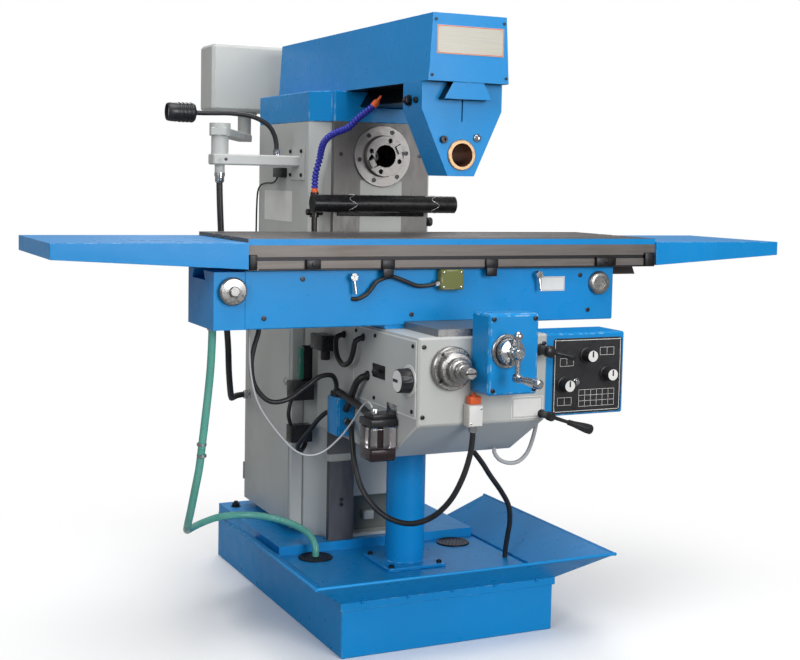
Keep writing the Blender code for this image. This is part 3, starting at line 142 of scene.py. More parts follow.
# Near the machine the floor takes its shadow; farther off it melts into the white behind.
grid = bmesh.new()
bmesh.ops.create_grid(grid, x_segments=1, y_segments=1, size=14.0)
floor_mesh = bpy.data.meshes.new("floor")
grid.to_mesh(floor_mesh)
grid.free()
floor = bpy.data.objects.new("floor", floor_mesh)
scene.collection.objects.link(floor)
floor_paint = bpy.data.materials.new("pale_floor")
floor_paint.use_nodes = True
shade = floor_paint.node_tree
matt = shade.nodes["Principled BSDF"]
matt.inputs["Roughness"].default_value = 0.9
matt.inputs["Specular IOR Level"].default_value = 0.1
floor_seen = add_node(shade, "LightPath").outputs["Is Camera Ray"]
tone = add_node(shade, "Mix", {0: floor_seen, 6: (0.45, 0.45, 0.45, 1.0), 7: (0.97, 0.97, 0.97, 1.0)},
                data_type="RGBA")
shade.links.new(tone.outputs[2], matt.inputs["Base Color"])
apart = add_node(shade, "VectorMath", {0: add_node(shade, "TexCoord").outputs["Object"]}, operation="LENGTH")
far = add_node(shade, "MapRange", {"Value": apart.outputs["Value"], "From Min": 0.6, "From Max": 1.7},
               interpolation_type="SMOOTHSTEP").outputs["Result"]
glow = add_node(shade, "MapRange", {"Value": floor_seen, "To Min": 0.3, "To Max": 1.0}).outputs["Result"]
bright = add_node(shade, "Emission", {"Color": WHITE, "Strength": glow}).outputs[0]
near = add_node(shade, "MixShader", {0: far, 1: matt.outputs[0], 2: bright}).outputs[0]
shade.links.new(near, shade.nodes["Material Output"].inputs["Surface"])
floor_mesh.materials.append(floor_paint)


# ---- Finishes, pieces and shapes --------------------------------------------------------------
# What the sections below share.  Every shape is added to the open mesh, bm; finished() turns it
# into a piece and opens the next one.
def new_finish(name, slot, colour, roughness, metallic=0.0):
    """A material, its shader, and the record's finish that it stands for."""
    made = bpy.data.materials.new(name)
    made.use_nodes = True
    made["slot"] = slot
    shader = made.node_tree.nodes["Principled BSDF"]
    shader.inputs["Base Color"].default_value = (*colour, 1.0)
    shader.inputs["Roughness"].default_value = roughness
    shader.inputs["Metallic"].default_value = metallic
    return made, made.node_tree, shader


def grain(tree, scale, stretch=(1.0, 1.0, 1.0), detail=3.0):
    """Noise in the piece's own coordinates; scale is in waves to the metre."""
    own = add_node(tree, "TexCoord").outputs["Object"]
    drawn = add_node(tree, "Mapping", {"Vector": own, "Scale": stretch}).outputs["Vector"]
    return add_node(tree, "TexNoise", {"Vector": drawn, "Scale": scale, "Detail": detail}).outputs["Fac"]


def spread(tree, value, low, high, first=0.3, last=0.7):
    """Carry a noise value onto the range from low to high."""
    return add_node(tree, "MapRange", {"Value": value, "From Min": first, "From Max": last, "To Min": low,
                                       "To Max": high}).outputs["Result"]


def mixed(tree, amount, first, second):
    """A colour between two colours or colour sockets."""
    first, second = ((*part, 1.0) if isinstance(part, tuple) else part for part in (first, second))
    return add_node(tree, "Mix", {0: amount, 6: first, 7: second}, data_type="RGBA").outputs[2]


def shaded(colour, share):
    """A colour made lighter or darker."""
    return tuple(min(1.0, part * share) for part in colour)


def relief(tree, shader, *layers):
    """Bump from (height, depth in metres) layers, one over the other."""
    normal = None
    for height, depth in layers:
        bump = add_node(tree, "Bump", {"Height": height, "Distance": depth, "Strength": 1.0})
        if normal is not None:
            tree.links.new(normal, bump.inputs["Normal"])
        normal = bump.outputs["Normal"]
    tree.links.new(normal, shader.inputs["Normal"])


def moulded(name, slot, colour, roughness=0.4, dust=0.15, clear=0.0):
    """Plastic, rubber or vinyl: a little uneven in colour and gloss, with fine mould texture."""
    made, tree, shader = new_finish(name, slot, colour, roughness)
    dusty = tuple(part + dust * 0.05 for part in colour)
    cloud = spread(tree, grain(tree, 14.0), 0.0, 1.0)
    tree.links.new(mixed(tree, cloud, shaded(colour, 0.88), dusty), shader.inputs["Base Color"])
    tree.links.new(spread(tree, grain(tree, 60.0), roughness - 0.06, roughness + 0.12),
                   shader.inputs["Roughness"])
    shader.inputs["Transmission Weight"].default_value = clear
    shader.inputs["Specular IOR Level"].default_value = 0.30
    relief(tree, shader, (grain(tree, 900.0), 0.00003))
    return made


def placed(name, data, body=None, replace=()):
    """A piece that rides on a body, in the record's finish, in place of the CAD nodes it names."""
    piece = bpy.data.objects.new(name, data)
    scene.collection.objects.link(piece)
    if body:
        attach(piece, body)
    if replace:
        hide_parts(*replace)
    return piece


def softened(mesh, angle):
    """Smooth shading that keeps the edges sharper than an angle."""
    mesh.shade_smooth()
    mesh.set_sharp_from_angle(angle=math.radians(angle))


def fresh():
    """An empty bmesh with a layer that says which faces are rubbed edges."""
    made = bmesh.new()
    made.faces.layers.float.new("rub")
    return made


bm = fresh()


def finished(name, materials, body, smooth=38, replace=()):
    """Close the open mesh as a piece, and open the next one."""
    global bm
    materials = materials if isinstance(materials, (list, tuple)) else [materials]
    mesh = bpy.data.meshes.new(name)
    bm.to_mesh(mesh)
    bm.free()
    bm = fresh()
    for material in materials:
        mesh.materials.append(material)
    softened(mesh, smooth)
    return placed(name, mesh, body, replace)


def smooth_route(points, spacing):
    """Points about one spacing apart on a smooth curve through the given points."""
    points = [Vector(point) for point in points]
    ends = [2 * points[0] - points[1], *points, 2 * points[-1] - points[-2]]
    route = [points[0]]
    for before, start, end, after in zip(ends, ends[1:], ends[2:], ends[3:]):
        count = max(1, round((end - start).length / spacing))
        for step in range(1, count + 1):
            t = step / count
            route.append(0.5 * (2 * start + (end - before) * t
                                + (2 * before - 5 * start + 4 * end - after) * t ** 2
                                + (3 * start - before - 3 * end + after) * t ** 3))
    return route


# The width of a ribbed hose in its grooves, against that on its ridges.
GROOVE = 0.90


def hose(name, points, radius, material, body=None, rib=0.0, replace=(), as_mesh=False):
    """A round hose along a smooth route; a rib is the distance from one ridge to the next."""
    route = smooth_route(points, rib / 2 if rib else min(0.012, 2.0 * radius))
    curve = bpy.data.curves.new(name, "CURVE")
    curve.dimensions = "3D"
    curve.bevel_depth = radius
    curve.bevel_resolution = 3
    curve.use_fill_caps = True
    curve.render_resolution_u = 0
    spline = curve.splines.new("POLY")
    spline.points.add(len(route) - 1)
    for number, (point, at) in enumerate(zip(spline.points, route)):
        point.co = (*at, 1.0)
        point.radius = GROOVE if rib and number % 2 else 1.0
    spline.use_smooth = True
    curve.materials.append(material)
    if not as_mesh:
        return placed(name, curve, body, replace), route
    draft = bpy.data.objects.new(name, curve)
    scene.collection.objects.link(draft)
    mesh = bpy.data.meshes.new_from_object(draft.evaluated_get(bpy.context.evaluated_depsgraph_get()))
    bpy.data.objects.remove(draft)
    softened(mesh, 50)
    return placed(name, mesh, body, replace), route


def middle_of(low, high):
    """The middle of a box."""
    return (low + high) / 2


UPRIGHT = Vector((0.0, 0.0, 1.0))
FORWARD = Vector((0.0, -1.0, 0.0))
LEFTWARD = Vector((-1.0, 0.0, 0.0))
RIGHTWARD = Vector((1.0, 0.0, 0.0))
BACKWARD = Vector((0.0, 1.0, 0.0))


def turned_to(at, axis):
    """The matrix that carries upright things at the origin to a point and an axis."""
    return Matrix.Translation(at) @ UPRIGHT.rotation_difference(Vector(axis)).to_matrix().to_4x4()


def add_turned(profile, at, axis=UPRIGHT, steps=32, ring=False, material=0):
    """Spin (radius, height) points about an axis that starts at a point."""
    known = set(bm.verts)
    line = [bm.verts.new((radius, 0.0, height)) for radius, height in profile]
    edges = [bm.edges.new(pair) for pair in zip(line, line[1:])]
    if ring:
        edges.append(bm.edges.new((line[-1], line[0])))
    bmesh.ops.spin(bm, geom=line + edges, cent=(0, 0, 0), axis=(0, 0, 1), angle=2 * math.pi, steps=steps,
                   use_merge=True)
    made = [vert for vert in bm.verts if vert not in known]
    bmesh.ops.remove_doubles(bm, verts=made, dist=0.000002)
    made = [vert for vert in bm.verts if vert not in known]
    faces = list({face for vert in made for face in vert.link_faces})
    for face in faces:
        face.material_index = material
    bmesh.ops.recalc_face_normals(bm, faces=faces)
    bmesh.ops.transform(bm, matrix=turned_to(at, axis), verts=made)
    return faces


# How far a fitting is let into the surface that it stands on.
SUNK = -0.001


def outline(*points, foot=SUNK):
    """A solid's outline: flat out to the first point, straight down from the last one to its foot."""
    return [(0, points[0][1]), *points, (points[-1][0], foot), (0, foot)]


def disc(radius, top, foot=SUNK):
    """A plain round outline between two heights."""
    return outline((radius, top), foot=foot)


def plug(face, top, radius, shoulder, foot=SUNK):
    """A round outline whose top, as wide as its face, slopes out to a shoulder."""
    return outline((face, top), (radius, shoulder), foot=foot)


# ---- Return hose ------------------------------------------------------------------------------
# Clear green vinyl hose that brings the coolant down from the end of the saddle to the tank.  It
# hangs from a barbed fitting, lies over the tray's rim and ends in the left drain; a worm-drive
# clip halfway marks where its moving part begins.
green_vinyl = moulded("green_vinyl", "green_hose", (0.150, 0.520, 0.430), 0.16, 0.5, clear=0.35)
clip_steel = moulded("clip_steel", "chrome", (0.45, 0.46, 0.47), 0.25)
clip_steel.node_tree.nodes["Principled BSDF"].inputs["Metallic"].default_value = 1.0
UPPER_HOSE = (
    (-0.668, -0.375, 0.9245), (-0.668, -0.375, 0.900), (-0.669, -0.374, 0.860), (-0.671, -0.370, 0.800),
    (-0.676, -0.362, 0.720), (-0.681, -0.350, 0.640), (-0.684, -0.338, 0.580))
LOWER_HOSE = (
    (-0.684, -0.338, 0.5795), (-0.687, -0.325, 0.520), (-0.690, -0.300, 0.460), (-0.690, -0.260, 0.390),
    (-0.682, -0.200, 0.330), (-0.660, -0.120, 0.293), (-0.622, -0.040, 0.277), (-0.570, 0.025, 0.272),
    (-0.500, 0.075, 0.272), (-0.430, 0.090, 0.268), (-0.365, 0.080, 0.262), (-0.310, 0.045, 0.252),
    (-0.268, 0.000, 0.238), (-0.247, -0.048, 0.222), (-0.240, -0.078, 0.200), (-0.240, -0.088, 0.182),
    (-0.240, -0.088, 0.1637))
HOSE_RADIUS = 0.011
for height, width in ((0.006, 0.0135), (-0.010, 0.0135)):
    add_turned([(HOSE_RADIUS, height + 0.004), (width, height + 0.004), (width, height - 0.004),
                (HOSE_RADIUS, height - 0.004)], Vector(LOWER_HOSE[0]) + Vector((0, 0, height)),
               UPRIGHT, 24, True)
hose_clip = finished("hose_clip", clip_steel, "knee")
upper_hose, upper_route = hose("coolant_return_upper", UPPER_HOSE, HOSE_RADIUS, green_vinyl, as_mesh=True,
                               replace=("return_hose_upper",))
lower_hose, lower_route = hose("coolant_return_lower", LOWER_HOSE, HOSE_RADIUS, green_vinyl, as_mesh=True,
                               replace=("return_hose_lower",))
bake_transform(upper_hose, "knee", "saddle", start=upper_route[-1], end=upper_route[0])
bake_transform(lower_hose, "frame", "knee", start=(-0.684, -0.338, 0.250), end=lower_route[0])


# ---- Hanging conduits and oil line ------------------------------------------------------------
# Black ribbed conduits and a thin grey oil line that hang between parts which move against each
# other: saddle to knee, and knee to base.  Each has a real length and ends in a fitting.
black_conduit = moulded("black_conduit", "black_rubber", (0.013, 0.013, 0.015), 0.36, 0.3)
grey_line = moulded("grey_oil_line", "clear_plastic", (0.42, 0.43, 0.45), 0.30, 0.1)
SADDLE_CONDUIT = (
    (-0.508, -0.300, 0.9245), (-0.509, -0.300, 0.895), (-0.522, -0.300, 0.850), (-0.529, -0.300, 0.800),
    (-0.517, -0.300, 0.741), (-0.475, -0.300, 0.696), (-0.420, -0.300, 0.697), (-0.365, -0.300, 0.730),
    (-0.318, -0.295, 0.758), (-0.272, -0.275, 0.757), (-0.250, -0.255, 0.733), (-0.246, -0.250, 0.711),
    (-0.246, -0.250, 0.6905))
OIL_LINE = (
    (-0.570, -0.400, 0.9245), (-0.570, -0.401, 0.890), (-0.568, -0.408, 0.800), (-0.554, -0.420, 0.725),
    (-0.524, -0.420, 0.670), (-0.476, -0.420, 0.609), (-0.436, -0.420, 0.571), (-0.396, -0.420, 0.556),
    (-0.352, -0.423, 0.566), (-0.306, -0.432, 0.606), (-0.276, -0.450, 0.654), (-0.262, -0.474, 0.694),
    (-0.256, -0.500, 0.712), (-0.255, -0.520, 0.710), (-0.255, -0.532, 0.702), (-0.255, -0.538, 0.6905))
UNDER_CONDUIT = (
    (0.118, -0.350, 0.5535), (0.125, -0.350, 0.542), (0.145, -0.350, 0.531), (0.165, -0.350, 0.516),
    (0.198, -0.350, 0.477), (0.226, -0.350, 0.437), (0.268, -0.350, 0.382), (0.298, -0.345, 0.333),
    (0.312, -0.330, 0.280), (0.315, -0.312, 0.225), (0.315, -0.302, 0.185), (0.315, -0.300, 0.1590))
SENSOR_CONDUIT = (
    (-0.221, 0.061, 0.4985), (-0.224, 0.058, 0.484), (-0.246, 0.034, 0.474), (-0.275, -0.010, 0.488),
    (-0.280, -0.050, 0.520), (-0.272, -0.100, 0.560), (-0.262, -0.150, 0.605), (-0.252, -0.185, 0.630),
    (-0.243, -0.2045, 0.635))
GREY_LOOP = (
    (0.120, -0.560, 0.5700), (0.121, -0.560, 0.556), (0.136, -0.561, 0.535), (0.166, -0.562, 0.522),
    (0.200, -0.563, 0.524), (0.228, -0.565, 0.548), (0.244, -0.568, 0.590), (0.252, -0.572, 0.635),
    (0.254, -0.575, 0.6760))
for name, route, radius, rib, material, parts, between in (
        ("saddle_conduit", SADDLE_CONDUIT, 0.0075, 0.0044, black_conduit, ("knee", "saddle"), 1),
        ("oil_line", OIL_LINE, 0.0028, 0.0, grey_line, ("knee", "saddle"), 1),
        ("under_knee_conduit", UNDER_CONDUIT, 0.0085, 0.0050, black_conduit, ("frame", "knee"), 1),
        ("sensor_to_knee_conduit", SENSOR_CONDUIT, 0.0075, 0.0044, black_conduit, ("knee", "frame"), 1),
        ("grey_feed_conduit", GREY_LOOP, 0.0060, 0.0, grey_line, ("knee", None), 0)):
    piece, line = hose(name, route, radius, material, None if between else parts[0], rib, as_mesh=True)
    if between:
        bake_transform(piece, *parts, start=route[-1], end=route[0])


# ---- Base -------------------------------------------------------------------------------------
# A hollow iron casting, filled, sanded and sprayed with gloss blue enamel.  It carries the column
# on a raised pad and holds the coolant; nuts on studs hold it to the floor.
def enamel(name, slot, colour, worn, gloss, casting=0.0):
    """Sprayed machine enamel: soft clouding, orange peel, and thin rubbed edges."""
    made, tree, shader = new_finish(name, slot, colour, gloss)
    cloud = spread(tree, grain(tree, 2.5, detail=2.0), 0.0, 1.0)
    dirt = spread(tree, grain(tree, 5.0, (1.0, 1.0, 0.5), 3.0), 0.0, 0.10, 0.50, 0.80)
    base = mixed(tree, cloud, shaded(colour, 0.93), shaded(colour, 1.05))
    base = mixed(tree, dirt, base, shaded(colour, 0.62))
    rubbed = add_node(tree, "Attribute", attribute_name="rub").outputs["Fac"]
    patchy = spread(tree, grain(tree, 45.0, detail=6.0), 0.0, 1.0, 0.50, 0.62)
    bare = add_node(tree, "Math", {0: rubbed, 1: patchy}, operation="MULTIPLY").outputs[0]
    tree.links.new(mixed(tree, bare, base, worn), shader.inputs["Base Color"])
    tree.links.new(spread(tree, grain(tree, 22.0), gloss - 0.05, gloss + 0.10), shader.inputs["Roughness"])
    shader.inputs["Specular IOR Level"].default_value = 0.22
    shader.inputs["Coat Weight"].default_value = 0.05
    shader.inputs["Coat Roughness"].default_value = 0.20
    relief(tree, shader, (grain(tree, 30.0), 0.00015 + casting), (grain(tree, 380.0), 0.00004))
    return made


def rounded(edges, radius, segments):
    """Round edges of the open mesh, and mark the new faces as rubbed."""
    faces = bmesh.ops.bevel(bm, geom=edges, offset=radius, affect="EDGES", segments=segments, profile=0.5,
                            material=-1, clamp_overlap=True)["faces"]
    rub = bm.faces.layers.float["rub"]
    for face in faces:
        face[rub] = 1.0
    return set(faces)


def add_block(low, high, edge=0.0, segments=2, material=0):
    """A block with rounded edges."""
    verts = bmesh.ops.create_cube(bm, size=1.0)["verts"]
    low, high = Vector(low), Vector(high)
    bmesh.ops.scale(bm, vec=high - low, verts=verts)
    bmesh.ops.translate(bm, vec=(low + high) / 2, verts=verts)
    faces = {face for vert in verts for face in vert.link_faces}
    for face in faces:
        face.material_index = material
    if edge:
        faces |= rounded(list({line for vert in verts for line in vert.link_edges}), edge, segments)
    return [face for face in faces if face.is_valid]


def dressed(node, material, edge, segments=2, second=None, where=None, cuts=()):
    """A copy of a part with its faces merged, its edges rounded and its coat on; where picks the
    faces that have the second finish, and cuts are planes that divide faces for it."""
    bm.from_mesh(nodes[node].data)
    bmesh.ops.remove_doubles(bm, verts=bm.verts, dist=0.00001)
    bmesh.ops.dissolve_limit(bm, angle_limit=math.radians(1.0), verts=bm.verts, edges=bm.edges)
    for point, normal in cuts:
        bmesh.ops.bisect_plane(bm, geom=bm.verts[:] + bm.edges[:] + bm.faces[:], plane_co=point,
                               plane_no=normal)
    for face in bm.faces:
        face.material_index = 1 if where and where(face.calc_center_median(), face.normal) else 0
    rounded([line for line in bm.edges if len(line.link_faces) == 2
             and line.calc_face_angle(0.0) > math.radians(35)], edge, segments)
    piece = finished(node + "_finished", [material, second] if second else material, nodes[node]["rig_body"],
                     replace=(node,))
    piece.modifiers.new("even shading", "WEIGHTED_NORMAL").keep_sharp = True


def on_circle(at, radius, angles):
    """Points at some angles, in degrees, on a circle that faces the operator."""
    turns = [math.radians(angle) for angle in angles]
    return [Vector(at) + Vector((radius * math.cos(turn), 0, radius * math.sin(turn))) for turn in turns]


def screw_head(radius, height):
    """A socket-head cap screw's outline."""
    return outline((radius * 0.5, height * 0.45), (radius * 0.5, height), (radius * 0.88, height),
                   (radius, height * 0.88))


def add_screws(places, axis, radius, height):
    """Socket-head cap screws at some places."""
    for at in places:
        add_turned(screw_head(radius, height), at, axis, 12)


def add_nut(at, axis, radius, height):
    """A hexagon nut on its washer, with the end of the stud showing."""
    add_turned(disc(radius * 1.3, 0.002), at, axis, 24)
    add_turned(plug(radius * 0.86, height, radius, height - radius * 0.14, 0.002), at, axis, 6)
    add_turned(plug(radius * 0.42, height * 1.5, radius * 0.5, height * 1.4, height), at, axis, 12)


def steel(name, slot, colour, roughness=0.32, lay=(1.0, 1.0, 1.0), scale=420.0, stain=0.25, metallic=1.0):
    """Bare metal with the marks of its machining; lay is small along the marks."""
    made, tree, shader = new_finish(name, slot, colour, roughness, metallic)
    marks = grain(tree, scale, lay, 2.0)
    blotch = spread(tree, grain(tree, 9.0, detail=5.0), 0.0, stain, 0.45, 0.75)
    base = mixed(tree, spread(tree, marks, 0.0, 1.0), shaded(colour, 0.86), shaded(colour, 1.12))
    brown = tuple(part * tint for part, tint in zip(colour, (0.72, 0.62, 0.52)))
    tree.links.new(mixed(tree, blotch, base, brown), shader.inputs["Base Color"])
    tree.links.new(spread(tree, marks, roughness - 0.08, roughness + 0.12), shader.inputs["Roughness"])
    relief(tree, shader, (marks, 0.000004))
    return made


BLUE = (0.004, 0.225, 0.560)
blue_enamel = enamel("blue_enamel", "blue_paint", BLUE, (0.16, 0.36, 0.62), 0.30)
blue_casting = enamel("blue_casting_enamel", "blue_paint", BLUE, (0.16, 0.36, 0.62), 0.32, casting=0.0004)
bolt_black = steel("black_oxide", "dark_steel", (0.045, 0.045, 0.050), 0.38, stain=0.1)
base_low, base_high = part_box("base")
dressed("base", blue_casting, 0.004, 3)
anchor_x = base_high.x - 0.042
for x in (-anchor_x, anchor_x):
    add_nut((x, 0.520, base_high.z), UPRIGHT, 0.014, 0.013)
finished("anchor_nuts", bolt_black, "frame")


# ---- Chip tray and drains ---------------------------------------------------------------------
# A rim of bent sheet, welded up at its corners and bolted round the base, in the same enamel, with
# its free edge folded over.  Two dark steel strainers drop into the drains in the floor of the tray.
# Matt near black: painted shade for the strainers' holes.
hole_shade_black = moulded("strainer_hole_painted_shade", "dark_steel", (0.004, 0.004, 0.004), 0.9, 0.0)
strainer_steel = steel("dark_strainer", "dark_steel", (0.050, 0.050, 0.058), 0.45, scale=200.0, stain=0.4)
tray_low, tray_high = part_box("chip_tray")
dressed("chip_tray", blue_enamel, 0.0012)
hem = 0.0045
rim = [(tray_low.x, 0.122), (tray_low.x, tray_low.y), (tray_high.x, tray_low.y), (tray_high.x, 0.122)]
for (x1, y1), (x2, y2) in zip(rim, rim[1:]):
    start, end = Vector((x1, y1, tray_high.z)), Vector((x2, y2, tray_high.z))
    add_turned([(0, (end - start).length + hem), (hem, (end - start).length + hem), (hem, -hem), (0, -hem)],
               start, (end - start).normalized(), 12)
bmesh.ops.translate(bm, vec=(0, 0, -hem * 0.6), verts=bm.verts)
finished("tray_folded_edge", blue_enamel, "frame")
first_x, last_x = base_low.x + 0.06, base_high.x - 0.06
add_screws([(first_x + (last_x - first_x) * step / 4, tray_low.y + 0.1248, base_high.z - 0.028)
            for step in range(5)], FORWARD, 0.005, 0.004)
finished("tray_screws", blue_enamel, "frame")
for word in ("left", "right"):
    low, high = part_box("drain_cover_" + word)
    centre = middle_of(low, high)
    rim_radius = (high.x - low.x) / 2
    add_turned(outline((rim_radius - 0.010, 0.003), (rim_radius - 0.008, 0.005), (rim_radius - 0.002, 0.005),
                       (rim_radius, 0.003), (rim_radius, 0.0003), (rim_radius - 0.007, 0.0003), foot=-0.012),
               (centre.x, centre.y, high.z - 0.005), UPRIGHT, 40)
    # The strainer's holes are not cut: near-black discs on its floor are painted shade for them.
    for ring, count in ((0.012, 6), (0.024, 12), (0.035, 18)):
        for step in range(count):
            angle = 2 * math.pi * step / count
            at = (centre.x + ring * math.cos(angle), centre.y + ring * math.sin(angle), high.z - 0.0021)
            add_turned(disc(0.0028, 0.0004, 0.0), at, UPRIGHT, 8, material=1)
    finished("drain_strainer_" + word, [strainer_steel, hole_shade_black], "frame", replace=("drain_cover_" + word,))


# ---- Column -----------------------------------------------------------------------------------
# The upright casting in light grey enamel.  Its front guideway is ground and hand-scraped bare
# metal; the spindle, the gears and the motor are inside it.
GREY = (0.450, 0.462, 0.446)
grey_enamel = enamel("grey_enamel", "grey_paint", GREY, (0.42, 0.43, 0.43), 0.36)
grey_casting = enamel("grey_casting_enamel", "grey_paint", GREY, (0.42, 0.43, 0.43), 0.38, casting=0.0003)
scraped_steel = steel("scraped_guideway", "machined_steel", (0.160, 0.155, 0.152), 0.48, (1.0, 1.0, 0.30),
                      70.0, 0.35, 0.60)
column_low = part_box("column")[0]
way_inner_x = 0.072
way_top_z = 1.330
way_foot_z = 0.46


def is_way(at, normal):
    """The two strips of the guideway, their outer sides, and the ground band above them."""
    strip = abs(at.x) > way_inner_x or at.z > way_top_z
    return at.y < 0.024 and (normal.y < -0.9 or abs(at.x) > 0.150) and at.z > way_foot_z and strip


dressed("column", grey_casting, 0.0025, 2, scraped_steel, is_way,
        cuts=(((0, 0, way_foot_z), UPRIGHT), ((0, 0, way_top_z), UPRIGHT),
              ((way_inner_x, 0, 0), RIGHTWARD), ((-way_inner_x, 0, 0), RIGHTWARD)))
low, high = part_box("rear_cover")
dressed("rear_cover", grey_enamel, 0.003)
add_screws([(x, high.y, z) for x in (low.x + 0.012, high.x - 0.012)
            for z in (low.z + 0.03, (low.z + high.z) / 2, high.z - 0.03)], BACKWARD, 0.006, 0.004)
finished("rear_cover_screws", bolt_black, "frame")
for row in range(9):
    add_turned(disc(0.009, 0.085, -0.085), (0, high.y - 0.002, low.z + 0.070 + row * 0.030), RIGHTWARD, 16)
finished("motor_louvres", grey_enamel, "frame")
cabinet_low, cabinet_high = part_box("electric_cabinet")
dressed("electric_cabinet", grey_enamel, 0.003)
side = cabinet_low.x
add_block((side - 0.0035, cabinet_low.y + 0.014, cabinet_low.z + 0.014),
          (side + 0.0005, cabinet_high.y - 0.014, cabinet_high.z - 0.014), 0.0015)
finished("cabinet_door", grey_enamel, "frame")
for z in (cabinet_low.z + 0.10, cabinet_high.z - 0.10):
    add_turned(disc(0.0035, 0.030, -0.030), (side - 0.0045, cabinet_high.y - 0.011, z), UPRIGHT, 12)
add_turned(outline((0.004, 0.004), (0.004, 0.0055), (0.011, 0.0055), (0.013, 0.003), foot=0.0),
           (side - 0.0035, cabinet_low.y + 0.040, 0.680), LEFTWARD, 24)
finished("cabinet_hinges_and_lock", clip_steel, "frame")

# A folded black steel channel stands against the guideway's foot, held by two cap screws.
guard_steel = steel("oiled_black_sheet", "dark_steel", (0.085, 0.085, 0.095), 0.45, (1, 1, 0.2),
                    60.0, 0.3, 0.6)
guard_low, guard_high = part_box("way_guard_plate")
dressed("way_guard_plate", guard_steel, 0.001)
add_screws([((guard_low.x + guard_high.x) / 2, guard_low.y, 0.318),
            ((guard_low.x + guard_high.x) / 2, guard_low.y, 0.302)], FORWARD, 0.006, 0.005)
finished("guard_screws", bolt_black, "frame")

# The recess in the column's foot holds the pale end block of an oil line.
add_block((-0.028, 0.022, 0.232), (0.006, 0.0448, 0.262), 0.003)
finished("foot_oil_block", grey_enamel, "frame")
# A dark sheet on the recess's back wall and a dark strip under its top edge are painted shade and a painted
# shadow, with a little oily dirt in them.
recess_shade_and_dirt = enamel("recess_painted_shade_and_dirt", "grey_paint", (0.115, 0.130, 0.120), (0.2, 0.2, 0.2), 0.45)
add_block((-0.0795, 0.0440, 0.1965), (0.0795, 0.0448, 0.3195))
add_block((-0.0795, 0.0010, 0.3165), (0.0795, 0.0448, 0.3195))
finished("recess_shade_and_dirt_film", recess_shade_and_dirt, "frame")


# ---- Column cap -------------------------------------------------------------------------------
# The blue head casting with the dovetail that the overarm slides in, and the square-ended clamp
# bolts that lock it.
cap_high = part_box("column_cap")[1]
dressed("column_cap", blue_enamel, 0.003, 3)
for y in (0.180, 0.430):
    add_turned(plug(0.016, 0.004, 0.017, 0.003), (cap_high.x, y, 1.566), RIGHTWARD, 24)
    add_nut((cap_high.x + 0.004, y, 1.566), RIGHTWARD, 0.0115, 0.010)
finished("overarm_clamp_nuts", bolt_black, "frame")


# ---- Spindle and its drive --------------------------------------------------------------------
# Hardened and ground steel: a nose with a steep taper socket and two driving keys, in a bolted
# flange.  The bearings, the gears, the belt and the motor are behind it, hidden in the column.
ground_steel = steel("ground_steel", "machined_steel", (0.260, 0.250, 0.245), 0.38, (1, 1, 1),
                     160.0, 0.25, 0.85)
# The taper socket's inside takes near-black steel: painted shade in the bore.
socket_shade_steel = steel("ground_socket_painted_shade", "machined_steel", (0.050, 0.048, 0.046), 0.30, (1, 0.2, 1), 120.0, 0.3)
gear_steel = steel("oiled_gear_steel", "machined_steel", (0.30, 0.29, 0.28), 0.35, (1, 0.3, 1), 150.0, 0.4)
spindle_axis_z = sum(corner.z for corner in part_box("spindle_flange")) / 2


def in_socket(at, normal):
    """Whether a face looks inwards, near the spindle's axis: the socket faces that take the painted shade."""
    reach = math.hypot(at.x, at.z - spindle_axis_z)
    outward = normal.x * at.x + normal.z * (at.z - spindle_axis_z)
    return reach < 0.036 and outward < -0.0005 * reach


dressed("spindle", ground_steel, 0.0012, 2, socket_shade_steel, in_socket)
dressed("spindle_flange", ground_steel, 0.0015)
flange_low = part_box("spindle_flange")[0]
flange_hole_circle = 0.081
nose_hole_circle = 0.0508
nose_hole_floor_y = -0.0155
add_screws(on_circle((0, flange_low.y - 0.0004, spindle_axis_z), flange_hole_circle, range(8, 368, 60)),
           FORWARD, 0.0072, 0.0016)
finished("flange_screws", bolt_black, "frame")
# Black discs on the floors of the nose's holes are painted shade in the holes.
for at in on_circle((0, nose_hole_floor_y, spindle_axis_z), nose_hole_circle, range(72, 432, 90)):
    add_turned(disc(0.0070, 0.0005, 0.0), at, FORWARD, 16)
finished("nose_hole_floor_shade", bolt_black, "spindle")
add_screws([(x, -0.0004, 1.411) for x in (-0.140, 0.133)], FORWARD, 0.0065, 0.0012)
finished("guideway_screws", bolt_black, "frame")


def coated(node, material):
    """A hidden or plain part keeps its own mesh and takes a new finish."""
    nodes[node].data.materials.clear()
    nodes[node].data.materials.append(material)


for node in ("front_bearing", "rear_bearing"):
    coated(node, ground_steel)
for node in ("bull_gear", "pinion_shaft", "motor_pulley"):
    coated(node, gear_steel)
belt_rubber = moulded("belt_rubber", "black_rubber", (0.014, 0.014, 0.015), 0.65, 0.4)
coated("drive_belt", belt_rubber)
motor_enamel = enamel("motor_enamel", "motor_grey", (0.150, 0.160, 0.170), (0.3, 0.3, 0.3), 0.45)
coated("main_motor", motor_enamel)


# ---- Overarm ----------------------------------------------------------------------------------
# A long hollow casting that slides in the cap's dovetail.  A bare nickel plate with an orange-red
# line is screwed to its front cover, which four small screws hold.
overarm_low, overarm_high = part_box("overarm")
